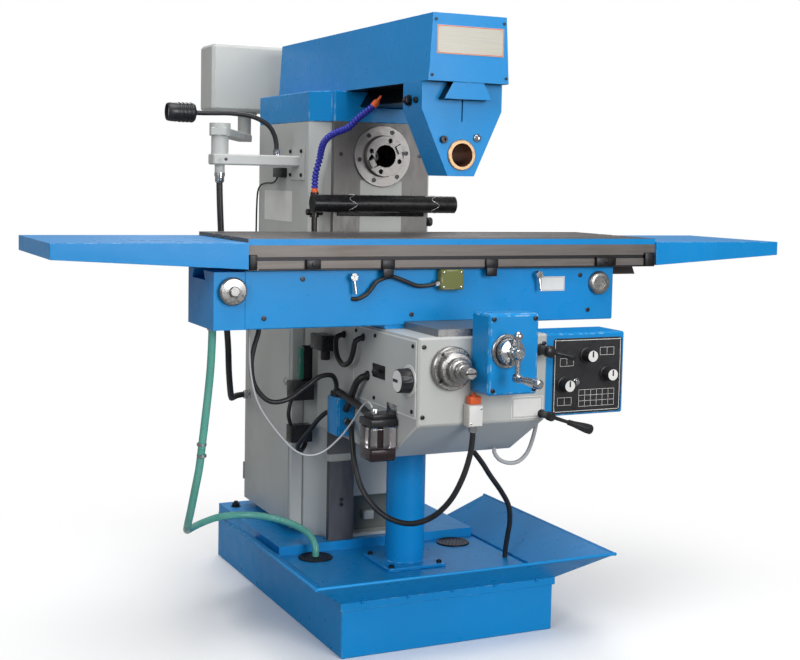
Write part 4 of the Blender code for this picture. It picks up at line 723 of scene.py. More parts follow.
# The overarm's underside and the dovetail's sides are bare oiled steel, made near black as painted shade
# under the overarm.
dovetail_steel_and_shade = steel("oiled_dovetail_and_painted_shade", "dark_steel", (0.030, 0.030, 0.034), 0.34, (1.0, 1.0, 0.1), 90.0, 0.4)
dovetail_top_z = 1.6085
dressed("overarm", blue_enamel, 0.004, 3, dovetail_steel_and_shade,
        lambda at, normal: at.z < dovetail_top_z and abs(normal.y) < 0.9)
add_screws([(x, overarm_low.y, z)
            for x, z in ((-0.107, 1.7745), (0.106, 1.7745), (-0.116, 1.623), (0.116, 1.623))],
           FORWARD, 0.0042, 0.0025)
finished("front_cover_screws", bolt_black, "overarm")
nickel = steel("nickel_plate", "chrome", (0.400, 0.390, 0.340), 0.45, (0.02, 1, 1), 500.0, 0.1, 0.30)
line_red = moulded("orange_red_line", "blue_paint", (0.62, 0.10, 0.045), 0.45, 0.1)


def bordered(front, borders):
    """Give a face (width, material) borders, listed from its edge inwards."""
    for width, material in borders:
        for face in bmesh.ops.inset_region(bm, faces=[front], thickness=width, use_even_offset=True)["faces"]:
            face.material_index = material


def add_plate(low, high, outward, borders):
    """A thin plate with borders on its front."""
    bordered(max(add_block(low, high), key=lambda face: face.normal.dot(outward)), borders)


add_plate((-0.103, overarm_low.y - 0.0014, 1.682), (0.106, overarm_low.y, 1.760), FORWARD,
          [(0.0010, 0), (0.0022, 1)])
finished("name_plate_blank", [nickel, line_red], "overarm")
add_screws([(x, overarm_low.y - 0.0014, z) for x in (-0.096, 0.099) for z in (1.689, 1.753)], FORWARD,
           0.0022, 0.0010)
finished("name_plate_rivets", nickel, "overarm")
add_block((-0.1135, overarm_high.y - 0.0005, 1.618), (0.1135, overarm_high.y + 0.002, 1.640), 0.001)
add_screws([(x, overarm_high.y + 0.002, 1.629) for x in (-0.100, 0.100)], BACKWARD, 0.004, 0.003)
finished("overarm_rear_strip", blue_enamel, "overarm")


# ---- Arbor support and bush -------------------------------------------------------------------
# The bracket that holds the arbor's free end.  It is slit and clamped to the overarm's dovetail,
# and a bronze bush is pressed into it, with an oiler and a grub screw on its face.
support_low, support_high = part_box("arbor_support")
dressed("arbor_support", blue_enamel, 0.0035, 3)
bush_low, bush_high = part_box("arbor_bush")
bush_radius = (bush_high.x - bush_low.x) / 2
bronze = steel("turned_bronze", "bronze", (0.460, 0.300, 0.170), 0.34, (1, 1, 1), 160.0, 0.3, 0.7)
bore_dark = steel("oiled_bronze_bore", "bronze", (0.300, 0.130, 0.070), 0.35, (1, 0.3, 1), 160.0, 0.4, 0.8)
bore = 0.031
back = bush_low.y - bush_high.y
add_turned([(bore, back + 0.002), (bore + 0.002, 0.0), (bush_radius - 0.002, 0.0), (bush_radius, -0.002),
            (bush_radius, back), (bore, back)], (0, bush_low.y, spindle_axis_z), FORWARD, 64, True)
for face in bm.faces:
    at = face.calc_center_median()
    face.material_index = 1 if math.hypot(at.x, at.z - spindle_axis_z) < bore + 0.0011 else 0
finished("bronze_bush", [bronze, bore_dark], "arbor_support", replace=("arbor_bush",))
add_turned(screw_head(0.0105, 0.010), (-0.058, support_low.y, 1.449), FORWARD, 24)
finished("bush_clamp_screw", bolt_black, "arbor_support")
add_turned([(0, 0.009), (0.004, 0.010), (0.008, 0.008), (0.011, 0.006), (0.012, 0.003), (0.012, -0.001),
            (0, -0.001)], (0.048, support_low.y, 1.456), FORWARD, 24)
finished("bush_oiler", clip_steel, "arbor_support")
add_turned(plug(0.014, 0.004, 0.015, 0.003), (support_low.x, -0.465, 1.557), LEFTWARD, 24)
add_nut((support_low.x - 0.004, -0.465, 1.557), LEFTWARD, 0.0125, 0.012)
add_screws([(support_high.x, -0.465, 1.557), (support_high.x, -0.505, 1.557)], RIGHTWARD, 0.009, 0.008)
add_screws([(support_low.x, -0.510, 1.557)], LEFTWARD, 0.009, 0.008)
finished("support_clamp_bolts", bolt_black, "arbor_support")


# ---- Elevating screw and its post -------------------------------------------------------------
# The knee stands on a screw that turns in a bronze nut on top of a blue tubular post, which four
# cap screws hold to the base.
screw_steel = steel("greased_screw", "dark_steel", (0.16, 0.13, 0.11), 0.35, (1, 1, 0.05), 90.0, 0.5)
grease_z = 0.503
dressed("screw_post", blue_enamel, 0.002, 2, bore_dark, lambda at, normal: at.z > grease_z,
        cuts=(((0, 0, grease_z), UPRIGHT),))
post_low, post_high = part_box("screw_post")
half = (post_high.x - post_low.x) / 2 - 0.016
post_y = (post_low.y + post_high.y) / 2
add_screws([(x, post_y + y, post_low.z + 0.010) for x in (-half, half) for y in (-half, half)],
           UPRIGHT, 0.008, 0.008)
finished("post_screws", bolt_black, "frame")
dressed("elevating_nut", bronze, 0.001)
coated("elevating_screw", screw_steel)


# ---- Knee -------------------------------------------------------------------------------------
# The grey casting that rises on the column's guideway, with ground ways on top for the saddle.
# On its left is a rimmed cover plate, on its front a bare plate with a ruled border.
knee_side = -0.200
cover_x = knee_side - 0.003
knee_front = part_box("knee")[0].y
way_z, way_x = 0.9152, 0.150
dressed("knee", grey_casting, 0.003, 3, ground_steel, lambda at, normal: at.z > way_z and abs(at.x) < way_x)
label_white = moulded("white_label", "grey_paint", (0.72, 0.72, 0.70), 0.4, 0.05)
ink = moulded("printed_ink", "black_plastic", (0.020, 0.020, 0.025), 0.4, 0.0)
add_plate((cover_x, -0.698, 0.694), (knee_side, -0.275, 0.906), LEFTWARD, [(0.004, 1)])
finished("knee_side_cover", [grey_enamel, label_white], "knee")
add_screws([(cover_x, y, z) for y in (-0.680, -0.430, -0.292) for z in (0.712, 0.890)], LEFTWARD,
           0.0055, 0.004)
finished("side_cover_screws", bolt_black, "knee")
add_plate((0.088, knee_front - 0.0012, 0.679), (0.190, knee_front, 0.741), FORWARD,
          [(0.0030, 0), (0.0010, 1), (0.0018, 0), (0.0006, 1)])
finished("knee_plate_blank", [label_white, ink], "knee")
add_screws([(x, knee_front, z) for x, z in ((-0.185, 0.890), (0.188, 0.888), (-0.186, 0.700))],
           FORWARD, 0.006, 0.004)
finished("knee_front_screws", bolt_black, "knee")

# The gear selector: a fluted black knob over a white dial, and a small lock lever behind it.
black_moulded = moulded("black_moulded", "black_plastic", (0.014, 0.014, 0.016), 0.28, 0.2)
selector_low, selector_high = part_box("selector_knob")
selector_at = Vector((cover_x, *middle_of(selector_low, selector_high).yz))
reach = cover_x - selector_low.x


def verts_of(faces):
    """The corners of some faces, each once."""
    return list({vert for face in faces for vert in face.verts})


def add_marks(at, axis, radius, start, count, length, material=0):
    """Engraved lines round a dial's rim, longer at every fifth."""
    half = 0.0004
    turn = turned_to(at, axis)
    for step in range(count):
        tall = length * (1.6 if step % 5 == 0 else 1.0)
        made = add_block((-half, radius - 0.0004, start), (half, radius + 0.00015, start + tall),
                         material=material)
        spin = Matrix.Rotation(2 * math.pi * step / count, 4, "Z")
        bmesh.ops.transform(bm, matrix=turn @ spin, verts=verts_of(made))


def add_knob(at, axis, radius, height, lobes, skirt=0.0):
    """A fluted knob in the first material, with a face in the second and a pointer in the first."""
    profile = outline((radius * 0.90, height), (radius * 0.97, height * 0.95), (radius, height * 0.25),
                      (radius, height * 0.12), (radius + skirt, height * 0.10), foot=0.0004)
    turn = turned_to(at, axis)
    back = turn.inverted()
    for vert in verts_of(add_turned(profile, at, axis, lobes * 4)):
        own = back @ vert.co
        if height * 0.2 < own.z < height * 0.96 and math.hypot(own.x, own.y) > radius * 0.85:
            pinch = 1.0 - 0.055 * (1 - math.cos(lobes * math.atan2(own.y, own.x)))
            vert.co = turn @ Vector((own.x * pinch, own.y * pinch, own.z))
    add_turned(disc(radius * 0.86, 0.0004), turn @ Vector((0, 0, height)), axis, 32, material=1)
    made = add_block((-radius * 0.12, -radius * 0.15, height + 0.0003),
                     (radius * 0.12, radius * 0.74, height + 0.0012))
    bmesh.ops.transform(bm, matrix=turn, verts=verts_of(made))


add_turned(disc(0.043, 0.0015, -0.0005), selector_at, LEFTWARD, 40)
finished("selector_dial", label_white, "knee")
add_knob(selector_at + Vector((-0.002, 0, 0)), LEFTWARD, 0.034, reach - 0.003, 12)
finished("selector_knob_fluted", [black_moulded, label_white], "selector", replace=("selector_knob",))
add_block((knee_side - 0.0055, -0.501, 0.772), (cover_x, -0.418, 0.811), 0.0006)
add_turned(plug(0.005, 0.020, 0.006, 0.018), (knee_side - 0.0055, -0.462, 0.792), LEFTWARD, 20)
add_block((knee_side - 0.024, -0.498, 0.7885), (knee_side - 0.018, -0.455, 0.7955), 0.002)
finished("selector_lock", bolt_black, "knee")

# The one-shot lubricator: a clear jar of dark oil under a black pump head, with a filler cap.
jar_low, jar_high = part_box("lubricator")
jar_middle = middle_of(jar_low, jar_high)
lid_z = jar_high.z - 0.034
clear_jar = moulded("clear_jar", "clear_plastic", (0.72, 0.68, 0.70), 0.06, 0.0, clear=1.0)
dark_oil = moulded("dark_oil", "clear_plastic", (0.030, 0.010, 0.014), 0.08, 0.0)
add_block(jar_low + Vector((0.002, 0.002, 0.0)), (jar_high.x - 0.004, jar_high.y - 0.002, lid_z), 0.007, 4)
finished("oil_jar", clear_jar, "knee")
add_block(jar_low + Vector((0.0045, 0.0045, 0.003)),
          (jar_high.x - 0.0065, jar_high.y - 0.0045, lid_z - 0.060), 0.005, 4)
add_turned(disc(0.009, 0.058, 0.0), (jar_middle.x, jar_middle.y, lid_z - 0.061), UPRIGHT, 20)
finished("oil_in_jar", dark_oil, "knee")
add_block((jar_low.x, jar_low.y, lid_z + 0.0003),
          (jar_high.x - 0.001, jar_high.y, jar_high.z - 0.012), 0.004, 3)
add_block((jar_low.x + 0.010, jar_low.y + 0.010, jar_high.z - 0.013),
          (jar_high.x, jar_high.y - 0.010, jar_high.z), 0.003, 3)
finished("pump_head", black_moulded, "knee", replace=("lubricator",))
chrome = steel("polished_chrome", "chrome", (0.50, 0.51, 0.52), 0.17, scale=300.0, stain=0.05)
add_turned(plug(0.009, 0.014, 0.0105, 0.012), (jar_low.x + 0.030, jar_middle.y, jar_high.z), UPRIGHT, 24)
add_block((jar_high.x - 0.004, jar_low.y + 0.008, jar_high.z - 0.008),
          (jar_high.x + 0.0005, jar_high.y - 0.008, jar_high.z + 0.024), 0.001)
finished("filler_cap_and_bracket", chrome, "knee")

# The knee's junction box, and the travel switch with its plunger at the knee's front.
dressed("junction_box", blue_enamel, 0.002)
box_low, box_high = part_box("junction_box")
add_block((box_low.x - 0.0030, box_low.y + 0.001, box_low.z + 0.001),
          (box_low.x + 0.0005, box_high.y - 0.001, box_high.z - 0.001), 0.0012)
finished("junction_box_lid", blue_enamel, "knee")
add_screws([(box_low.x - 0.003, y, z) for y in (box_low.y + 0.009, box_high.y - 0.009)
            for z in (box_low.z + 0.009, box_high.z - 0.009)], LEFTWARD, 0.0035, 0.002)
add_turned(plug(0.012, 0.016, 0.013, 0.014), (-0.228, box_low.y, 0.620), FORWARD, 6)
finished("junction_box_gland", chrome, "knee")
BOX_TO_PUMP = (
    (-0.240, -0.225, 0.6905), (-0.240, -0.236, 0.703), (-0.240, -0.270, 0.702), (-0.238, -0.330, 0.694),
    (-0.236, -0.400, 0.684), (-0.236, -0.460, 0.674), (-0.236, -0.508, 0.668))
BOX_TO_COVER = (
    (-0.203, -0.382, 0.769), (-0.220, -0.380, 0.764), (-0.230, -0.365, 0.748), (-0.231, -0.338, 0.715),
    (-0.230, -0.308, 0.676), (-0.229, -0.2858, 0.655))
SIDE_LOOP = (
    (-0.203, -0.200, 0.868), (-0.226, -0.200, 0.862), (-0.232, -0.205, 0.835), (-0.232, -0.222, 0.803),
    (-0.232, -0.266, 0.786), (-0.232, -0.315, 0.803), (-0.232, -0.340, 0.838), (-0.228, -0.345, 0.866),
    (-0.203, -0.345, 0.876))
hose("box_to_pump_conduit", BOX_TO_PUMP, 0.0110, black_conduit, "knee")
hose("box_to_cover_conduit", BOX_TO_COVER, 0.0105, black_conduit, "knee")
hose("knee_side_loop", SIDE_LOOP, 0.0080, black_conduit, "knee")
add_turned(plug(0.014, 0.014, 0.016, 0.011, 0.0), (-0.240, -0.228, 0.690), UPRIGHT, 8)
add_turned(plug(0.013, 0.006, 0.0145, 0.004, 0.0), (-0.2030, -0.382, 0.769), LEFTWARD, 24)
for y, z in ((-0.200, 0.868), (-0.345, 0.876)):
    add_turned(plug(0.010, 0.005, 0.011, 0.003, 0.0), (-0.2030, y, z), LEFTWARD, 24)
add_block((-0.246, -0.128, 0.808), (-0.200, -0.030, 0.856), 0.004, 3)
add_turned(plug(0.013, 0.030, 0.015, 0.026, 0.0), (-0.222, -0.100, 0.809), -UPRIGHT, 20)
finished("knee_side_connectors", black_moulded, "knee")
switch_low, switch_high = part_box("knee_limit_switch")
switch_grey = moulded("switch_grey", "switch_plastic", (0.50, 0.47, 0.44), 0.45)
orange_plastic = moulded("orange_plastic", "switch_plastic", (0.75, 0.12, 0.030), 0.38, 0.1)
add_block((switch_low.x, switch_low.y + 0.005, switch_low.z),
          (switch_high.x, switch_high.y - 0.0005, switch_high.z - 0.030), 0.003, 3)
finished("knee_switch_body", switch_grey, "knee", replace=("knee_limit_switch",))
add_block((switch_low.x + 0.002, switch_low.y + 0.001, switch_low.z + 0.003),
          (switch_high.x - 0.002, switch_low.y + 0.0052, switch_high.z - 0.033), 0.0015)
finished("knee_switch_plate", label_white, "knee")
add_block((switch_low.x + 0.006, switch_low.y + 0.004, switch_high.z - 0.0302),
          (switch_high.x - 0.006, switch_high.y - 0.004, switch_high.z - 0.008), 0.003, 3)
add_turned(plug(0.004, 0.008, 0.006, 0.006),
           (*middle_of(switch_low, switch_high).xy, switch_high.z - 0.008), UPRIGHT, 20)
finished("knee_switch_head", orange_plastic, "knee")
add_turned(plug(0.010, 0.016, 0.0125, 0.013), (-0.040, -0.7245, switch_low.z), -UPRIGHT, 6)
add_screws([(switch_low.x + 0.007, switch_low.y + 0.001, switch_low.z + 0.010),
            (switch_high.x - 0.007, switch_low.y + 0.001, switch_high.z - 0.042)], FORWARD, 0.0028, 0.0014)
finished("knee_switch_gland", chrome, "knee")
SWITCH_CONDUIT = (
    (-0.040, -0.7245, 0.6690), (-0.040, -0.724, 0.640), (-0.042, -0.716, 0.590), (-0.050, -0.690, 0.520),
    (-0.066, -0.650, 0.450), (-0.094, -0.600, 0.395), (-0.132, -0.545, 0.366), (-0.172, -0.490, 0.370),
    (-0.206, -0.445, 0.400), (-0.229, -0.405, 0.450), (-0.238, -0.378, 0.510), (-0.238, -0.358, 0.565),
    (-0.233, -0.336, 0.603), (-0.228, -0.308, 0.620), (-0.228, -0.2858, 0.620))
hose("knee_switch_conduit", SWITCH_CONDUIT, 0.0085, black_conduit, "knee", 0.0046,
     replace=("switch_conduit",))


# ---- Vertical feed dial -----------------------------------------------------------------------
# A ground flange screwed to the knee, with a stepped dial and a slotted shaft end in it, for the
# hand wheel that is taken off while the power feed runs.
dial_low, dial_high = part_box("vertical_feed_dial")
dial_at = middle_of(dial_low, dial_high)
dial_at.y = knee_front
engraving_and_slot_shade = moulded("engraved_line_and_slot_shade", "dark_steel", (0.02, 0.02, 0.02), 0.6, 0.0)
turned_steel = steel("turned_steel", "machined_steel", (0.300, 0.295, 0.290), 0.30, (1, 1, 1),
                     160.0, 0.2, 0.9)
add_turned(plug(0.057, 0.019, 0.060, 0.016, -0.0005), dial_at, FORWARD, 64)
finished("vertical_dial_flange", turned_steel, "knee")
add_screws(on_circle(dial_at + Vector((0, -0.0185, 0)), 0.052, range(40, 400, 90)), FORWARD, 0.0048, 0.0014)
finished("vertical_dial_screws", bolt_black, "knee")
tip = dial_at.y - dial_low.y
add_turned(outline((0.0135, tip), (0.0155, tip - 0.002), (0.0155, 0.082), (0.022, 0.080), (0.024, 0.078),
                   (0.024, 0.064), (0.032, 0.062), (0.034, 0.060), (0.034, 0.043), (0.044, 0.042),
                   (0.047, 0.039), foot=0.0195), dial_at, FORWARD, 64)
add_marks(dial_at, FORWARD, 0.047, 0.029, 50, 0.005, 1)
add_marks(dial_at, FORWARD, 0.034, 0.048, 10, 0.006, 1)
# The shaft end's slot is not cut: a near-black bar across the end, in the engraving's finish, is painted
# shade for it.
add_block(dial_at + Vector((-0.016, -tip - 0.0003, -0.0022)),
          dial_at + Vector((0.016, -tip + 0.004, 0.0022)), material=1)
finished("vertical_dial_stepped", [turned_steel, engraving_and_slot_shade], "vertical_dial", replace=("vertical_feed_dial",))


# ---- Cross feed gearbox and crank -------------------------------------------------------------
# A blue box of gears on the knee's front, and the chromed crank that winds the saddle in and out.
dressed("feed_gearbox", blue_enamel, 0.005, 3)
gear_low, gear_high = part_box("feed_gearbox")
crank_at = Vector((0.010, gear_low.y, 0.885))
add_turned([(0.0375, 0.007), (0.044, 0.007), (0.046, 0.005), (0.046, -0.0005), (0.0375, -0.0005)], crank_at,
           FORWARD, 48, True)
finished("crank_flange", turned_steel, "knee")
add_screws([(x, gear_low.y, z) for x in (gear_low.x + 0.013, gear_high.x - 0.013)
            for z in (gear_low.z + 0.014, gear_high.z - 0.014)], FORWARD, 0.0062, 0.004)
finished("gearbox_screws", bolt_black, "knee")
for node in ("cross_feed_crank", "crank_handle"):
    dressed(node, chrome, 0.0008)
add_marks(crank_at, FORWARD, 0.036, 0.012, 50, 0.004)
finished("crank_dial_marks", engraving_and_slot_shade, "cross_crank")
add_block((gear_high.x - 0.0002, gear_low.y + 0.020, 0.830),
          (gear_high.x + 0.0010, gear_low.y + 0.060, 0.900))
finished("gearbox_plate_blank", nickel, "knee")


# ---- Feed control box -------------------------------------------------------------------------
# The sheet box on the knee's right, with a black printed panel.  Three black knobs have white
# faces; a key switch and a ruled table are between them.
dressed("feed_control_box", blue_enamel, 0.004, 3)
control_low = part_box("feed_control_box")[0]
panel_black = moulded("panel_black", "black_plastic", (0.018, 0.018, 0.020), 0.32, 0.1)
panel_y = control_low.y - 0.0015
faces = add_block((0.229, panel_y, 0.682), (0.460, control_low.y, 0.897))
corners = {line for face in faces for line in face.edges
           if abs((line.verts[0].co - line.verts[1].co).normalized().y) > 0.9}
bmesh.ops.bevel(bm, geom=list(corners), offset=0.010, affect="EDGES", segments=4, profile=0.5, material=-1)
bordered(min(bm.faces, key=lambda face: face.calc_center_median().y), ((0.005, 0), (0.0016, 1)))
finished("feed_panel", [panel_black, label_white], "knee")

# Four printed tables of thin lines, from a low corner to a high one.
RULE_HALF = 0.00045
for low_x, low_z, high_x, high_z, columns, rows in (
        (0.317, 0.700, 0.436, 0.748, 6, 3), (0.252, 0.818, 0.296, 0.840, 2, 1),
        (0.385, 0.846, 0.432, 0.868, 2, 1), (0.246, 0.706, 0.292, 0.728, 2, 1)):
    for step in range(columns + 1):
        x = low_x + (high_x - low_x) * step / columns
        add_block((x - RULE_HALF, panel_y - 0.0003, low_z), (x + RULE_HALF, panel_y, high_z))
    for step in range(rows + 1):
        z = low_z + (high_z - low_z) * step / rows
        add_block((low_x, panel_y - 0.0003, z - RULE_HALF), (high_x, panel_y, z + RULE_HALF))
finished("panel_rules", label_white, "knee")
for node in ("feed_knob_1", "feed_knob_2", "feed_knob_3"):
    low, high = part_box(node)
    at = middle_of(low, high)
    add_knob((at.x, control_low.y - 0.002, at.z), FORWARD, 0.0185, control_low.y - 0.0035 - low.y, 8, 0.0042)
    finished(node + "_fluted", [black_moulded, label_white], nodes[node]["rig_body"], replace=(node,))
add_turned(outline((0.0065, 0.010), (0.0075, 0.0085), (0.0085, 0.004), (0.0105, 0.003), foot=-0.0005),
           (0.306, panel_y, 0.772), FORWARD, 24)
finished("key_switch", chrome, "knee")
add_screws([(x, panel_y, z) for x in (0.236, 0.453) for z in (0.689, 0.890)], FORWARD, 0.0026, 0.0012)
finished("panel_screws", chrome, "knee")

# Two levers to its left: the upper one clamps the knee, the lower one engages the feed.
for node, hub, tip, hub_radius, grip_radius in (
        ("knee_clamp_lever", (0.176, -0.760, 0.871), (0.255, -0.760, 0.853), 0.017, 0.010),
        ("feed_lever", (0.185, -0.760, 0.690), (0.314, -0.760, 0.646), 0.013, 0.014)):
    hub, tip = Vector(hub), Vector(tip)
    seat_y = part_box(node)[1].y
    deep = seat_y - hub.y + 0.009
    reach = (tip - hub).length
    add_turned([(0, deep), (hub_radius * 0.8, deep), (hub_radius, deep - 0.004), (hub_radius, deep - 0.020),
                (hub_radius * 0.8, deep - 0.025), (hub_radius * 0.8, 0.004), (hub_radius, 0), (0, 0)],
               (hub.x, seat_y, hub.z), FORWARD, 28)
    add_turned([(0, reach + 0.004), (grip_radius * 0.86, reach + 0.004), (grip_radius, reach + 0.001),
                (grip_radius * 0.98, reach - 0.014), (grip_radius * 0.60, reach * 0.56),
                (grip_radius * 0.56, reach * 0.45), (0.0050, reach * 0.44), (0.0056, 0.006), (0, 0.006)], hub,
               tip - hub, 24)
    finished(node + "_finished", black_moulded, nodes[node]["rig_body"], 50, replace=(node,))


# ---- Saddle -----------------------------------------------------------------------------------
# The wide blue casting that slides across the knee and carries the table.  Chromed levers lock the
# table; on its front are a travel switch with its conduit, a stop and a bare plate.
saddle_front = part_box("saddle")[0].y
dressed("saddle", blue_enamel, 0.003, 3)
for node in ("table_clamp_left", "table_clamp_right"):
    dressed(node, chrome, 0.0008)
dial_low, dial_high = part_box("table_feed_dial")
dressed("table_feed_dial", turned_steel, 0.0008)
dial_at = middle_of(dial_low, dial_high)
add_marks((dial_at.x, saddle_front, dial_at.z), FORWARD, dial_at.x - dial_low.x, 0.006, 50, 0.004)
finished("table_dial_marks", engraving_and_slot_shade, "table_dial")
add_turned([(0, 0.010), (0.020, 0.011), (0.021, 0.014), (0.030, 0.014), (0.034, 0.011), (0.036, 0.004),
            (0.036, -0.0005), (0, -0.0005)], (0.505, saddle_front, 1.036), FORWARD, 40)
finished("right_bearing_cap", turned_steel, "saddle")
olive = enamel("olive_enamel_finish", "olive_enamel", (0.130, 0.145, 0.040), (0.3, 0.3, 0.2), 0.35)
dressed("saddle_limit_switch", olive, 0.0025, 3)
olive_low, olive_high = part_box("saddle_limit_switch")
add_screws([(x, olive_low.y, z) for x in (olive_low.x + 0.009, olive_high.x - 0.009)
            for z in (olive_low.z + 0.008, olive_high.z - 0.008)], FORWARD, 0.0032, 0.0018)
add_turned(plug(0.0085, 0.014, 0.0105, 0.012, -0.0005),
           (olive_low.x, middle_of(olive_low, olive_high).y, 1.043), LEFTWARD, 6)
finished("saddle_switch_gland", chrome, "saddle")
SADDLE_SWITCH_CONDUIT = (
    (-0.304, saddle_front + 0.002, 1.003), (-0.290, -0.497, 1.003), (-0.266, -0.500, 1.014),
    (-0.248, -0.501, 1.033), (-0.233, -0.502, 1.051), (-0.192, -0.502, 1.064), (-0.150, -0.502, 1.052),
    (-0.113, -0.502, 1.038), (-0.080, -0.503, 1.037), (olive_low.x - 0.006, -0.505, 1.043))
hose("saddle_switch_conduit", SADDLE_SWITCH_CONDUIT, 0.0065, black_conduit, "saddle", 0.004)
add_plate((0.303, saddle_front - 0.0010, 1.014), (0.386, saddle_front, 1.057), FORWARD,
          [(0.002, 0), (0.0008, 1)])
finished("saddle_plate_blank", [label_white, ink], "saddle")
add_screws([(x, saddle_front, z) for x, z in ((-0.560, 0.955), (-0.120, 0.955), (0.200, 0.955),
                                              (0.470, 0.955), (-0.450, 1.060), (0.440, 1.060))],
           FORWARD, 0.007, 0.002)
finished("gib_screws", bolt_black, "saddle")
add_turned(plug(0.013, 0.012, 0.0145, 0.010), (-0.668, -0.375, 0.925), -UPRIGHT, 6)
finished("return_fitting", chrome, "saddle")


# ---- Table ------------------------------------------------------------------------------------
# Ground iron with three T-slots, a coolant gutter and blue lips.  In the groove along its front
# ride the dogs that trip the travel switch, between black end blocks.
table_low, table_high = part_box("table")
table_front = table_low.y
table_steel = steel("ground_table", "machined_steel", (0.105, 0.105, 0.108), 0.30, (0.06, 1, 1),
                    200.0, 0.4, 0.8)
rail_steel = steel("ground_table_edge", "machined_steel", (0.140, 0.126, 0.118), 0.45, (0.06, 1, 1),
                   120.0, 0.5, 0.6)
strip_z = 1.153
gutter_z = 1.11
dressed("table", rail_steel, 0.0012, 2, table_steel, lambda at, normal: normal.z > 0.5 and at.z > gutter_z,
        cuts=(((0, 0, strip_z), UPRIGHT),))
coated("table_lead_screw", screw_steel)
add_block((table_low.x + 0.001, table_front - 0.0006, strip_z),
          (table_high.x - 0.001, table_front + 0.0002, table_high.z - 0.001))
finished("table_edge_stripe", blue_enamel, "table")
dog_steel = steel("black_dog", "dark_steel", (0.035, 0.035, 0.038), 0.42, scale=120.0, stain=0.3)
for low_x, high_x in ((-0.612, -0.590), (0.655, 0.689)):
    add_block((low_x, table_front - 0.010, 1.087), (high_x, table_front, 1.128), 0.002)
for low_x, high_x in ((-0.451, -0.409), (0.478, 0.547)):
    add_block((low_x, table_front - 0.012, 1.088), (high_x, table_front, 1.114), 0.002)
    add_screws([((low_x + high_x) / 2, table_front - 0.012, 1.101)], FORWARD, 0.006, 0.003)
for low_x, high_x in ((-0.225, -0.186), (0.103, 0.143)):
    add_block((low_x, table_front - 0.008, 1.086), (high_x, table_front, 1.112), 0.002)
    add_block((low_x + 0.003, table_front - 0.0078, 1.062),
              (high_x - 0.003, table_front - 0.0012, 1.088), 0.002)
add_block((table_low.x + 0.002, table_front + 0.0010, 1.1112),
          (table_high.x - 0.002, table_front + 0.009, 1.1208))
add_block((table_low.x + 0.03, table_front - 0.0004, 1.0855),
          (table_high.x - 0.01, table_front + 0.0002, 1.0900))
finished("table_dogs", dog_steel, "table")
for node in ("tray_left", "tray_right"):
    dressed(node, blue_enamel, 0.0012)


# ---- Way cover roll ---------------------------------------------------------------------------
# A roll of black rubber sheet hung in front of the column above the table, to cover the ways.  It
# is tied with soft wire.
roll_low, roll_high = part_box("way_cover_roll")
sheet_rubber = moulded("black_sheet_rubber", "black_rubber", (0.008, 0.008, 0.009), 0.24, 0.1)
roll_radius = 0.0275
tie_radius = roll_radius + 0.0002
roll_at = Vector((roll_low.x, roll_low.y + roll_radius, roll_high.z - roll_radius))
long = roll_high.x - roll_low.x
end_rings = []
for step in range(6):
    radius = roll_radius * (0.97 - step * 0.16)
    end_rings += [(radius, 0.0), (radius - 0.0022, 0.0), (radius - 0.0024, 0.003), (radius - 0.0044, 0.003)]
front_end = [(radius, long - depth) for radius, depth in reversed(end_rings)]
body_line = [(roll_radius * (1.0 - 0.012 * (step % 2)), long * step / 40) for step in range(40, -1, -1)]
add_turned([(0, long - 0.003)] + front_end + body_line + end_rings + [(0, 0.003)], roll_at, RIGHTWARD, 48)
add_block((-0.150, -0.006, roll_low.z), (0.150, roll_high.y, roll_at.z + 0.010), 0.001)
finished("way_cover_roll_sheet", sheet_rubber, "frame", 60, replace=("way_cover_roll",))
tie_wire = steel("soft_wire", "chrome", (0.55, 0.55, 0.56), 0.3, scale=200.0, stain=0.1)
for number, x in enumerate((-0.117, 0.168)):
    spin = [Vector((x + 0.012 * math.sin(step * 1.3), roll_at.y + tie_radius * math.cos(step * 0.30),
                    roll_at.z + tie_radius * math.sin(step * 0.30))) for step in range(22)]
    hose("roll_tie_" + str(number + 1), spin, 0.0009, tie_wire, "frame")


# ---- Coolant stand and jointed hose -----------------------------------------------------------
# A tap on a short pipe behind the table, and a hose of blue ball-and-socket segments with orange
# ends that stays where it is bent.
tap_black = steel("blacked_tap", "bronze", (0.050, 0.047, 0.043), 0.34, stain=0.2)
dressed("coolant_stand", tap_black, 0.0008)
segment_blue = moulded("segment_blue", "blue_plastic", (0.022, 0.026, 0.330), 0.30, 0.2)
COOLANT_HOSE = (
    (-0.215, 0.028, 1.2905), (-0.214, 0.025, 1.345), (-0.206, 0.012, 1.394), (-0.205, -0.012, 1.440),
    (-0.190, -0.045, 1.468), (-0.156, -0.095, 1.490), (-0.139, -0.134, 1.519), (-0.112, -0.184, 1.554),
    (-0.099, -0.202, 1.580))
route = smooth_route(COOLANT_HOSE, 0.0115)
bead = [(0.0055, 0.0150), (0.0072, 0.0125), (0.0072, 0.0105), (0.0096, 0.0088), (0.0110, 0.0064),
        (0.0110, 0.0030), (0.0080, 0.0005), (0.0060, 0.0005)]
for start, end in list(zip(route, route[1:]))[1:-3]:
    add_turned(bead, start, end - start, 16, True)
finished("coolant_hose_segments", segment_blue, "frame", replace=("coolant_hose",))
add_turned(outline((0.0085, 0.020), (0.0095, 0.015), (0.0112, 0.013), foot=0.001),
           route[0] - Vector((0, 0, 0.006)), UPRIGHT, 24)
tip_way = (route[-1] - route[-4]).normalized()
add_turned([(0.0016, 0.040), (0.0034, 0.040), (0.0050, 0.024), (0.0096, 0.016), (0.0108, 0.012),
            (0.0108, 0.001), (0.0016, 0.001)], route[-4], tip_way, 24, True)
finished("coolant_orange_ends", orange_plastic, "frame")


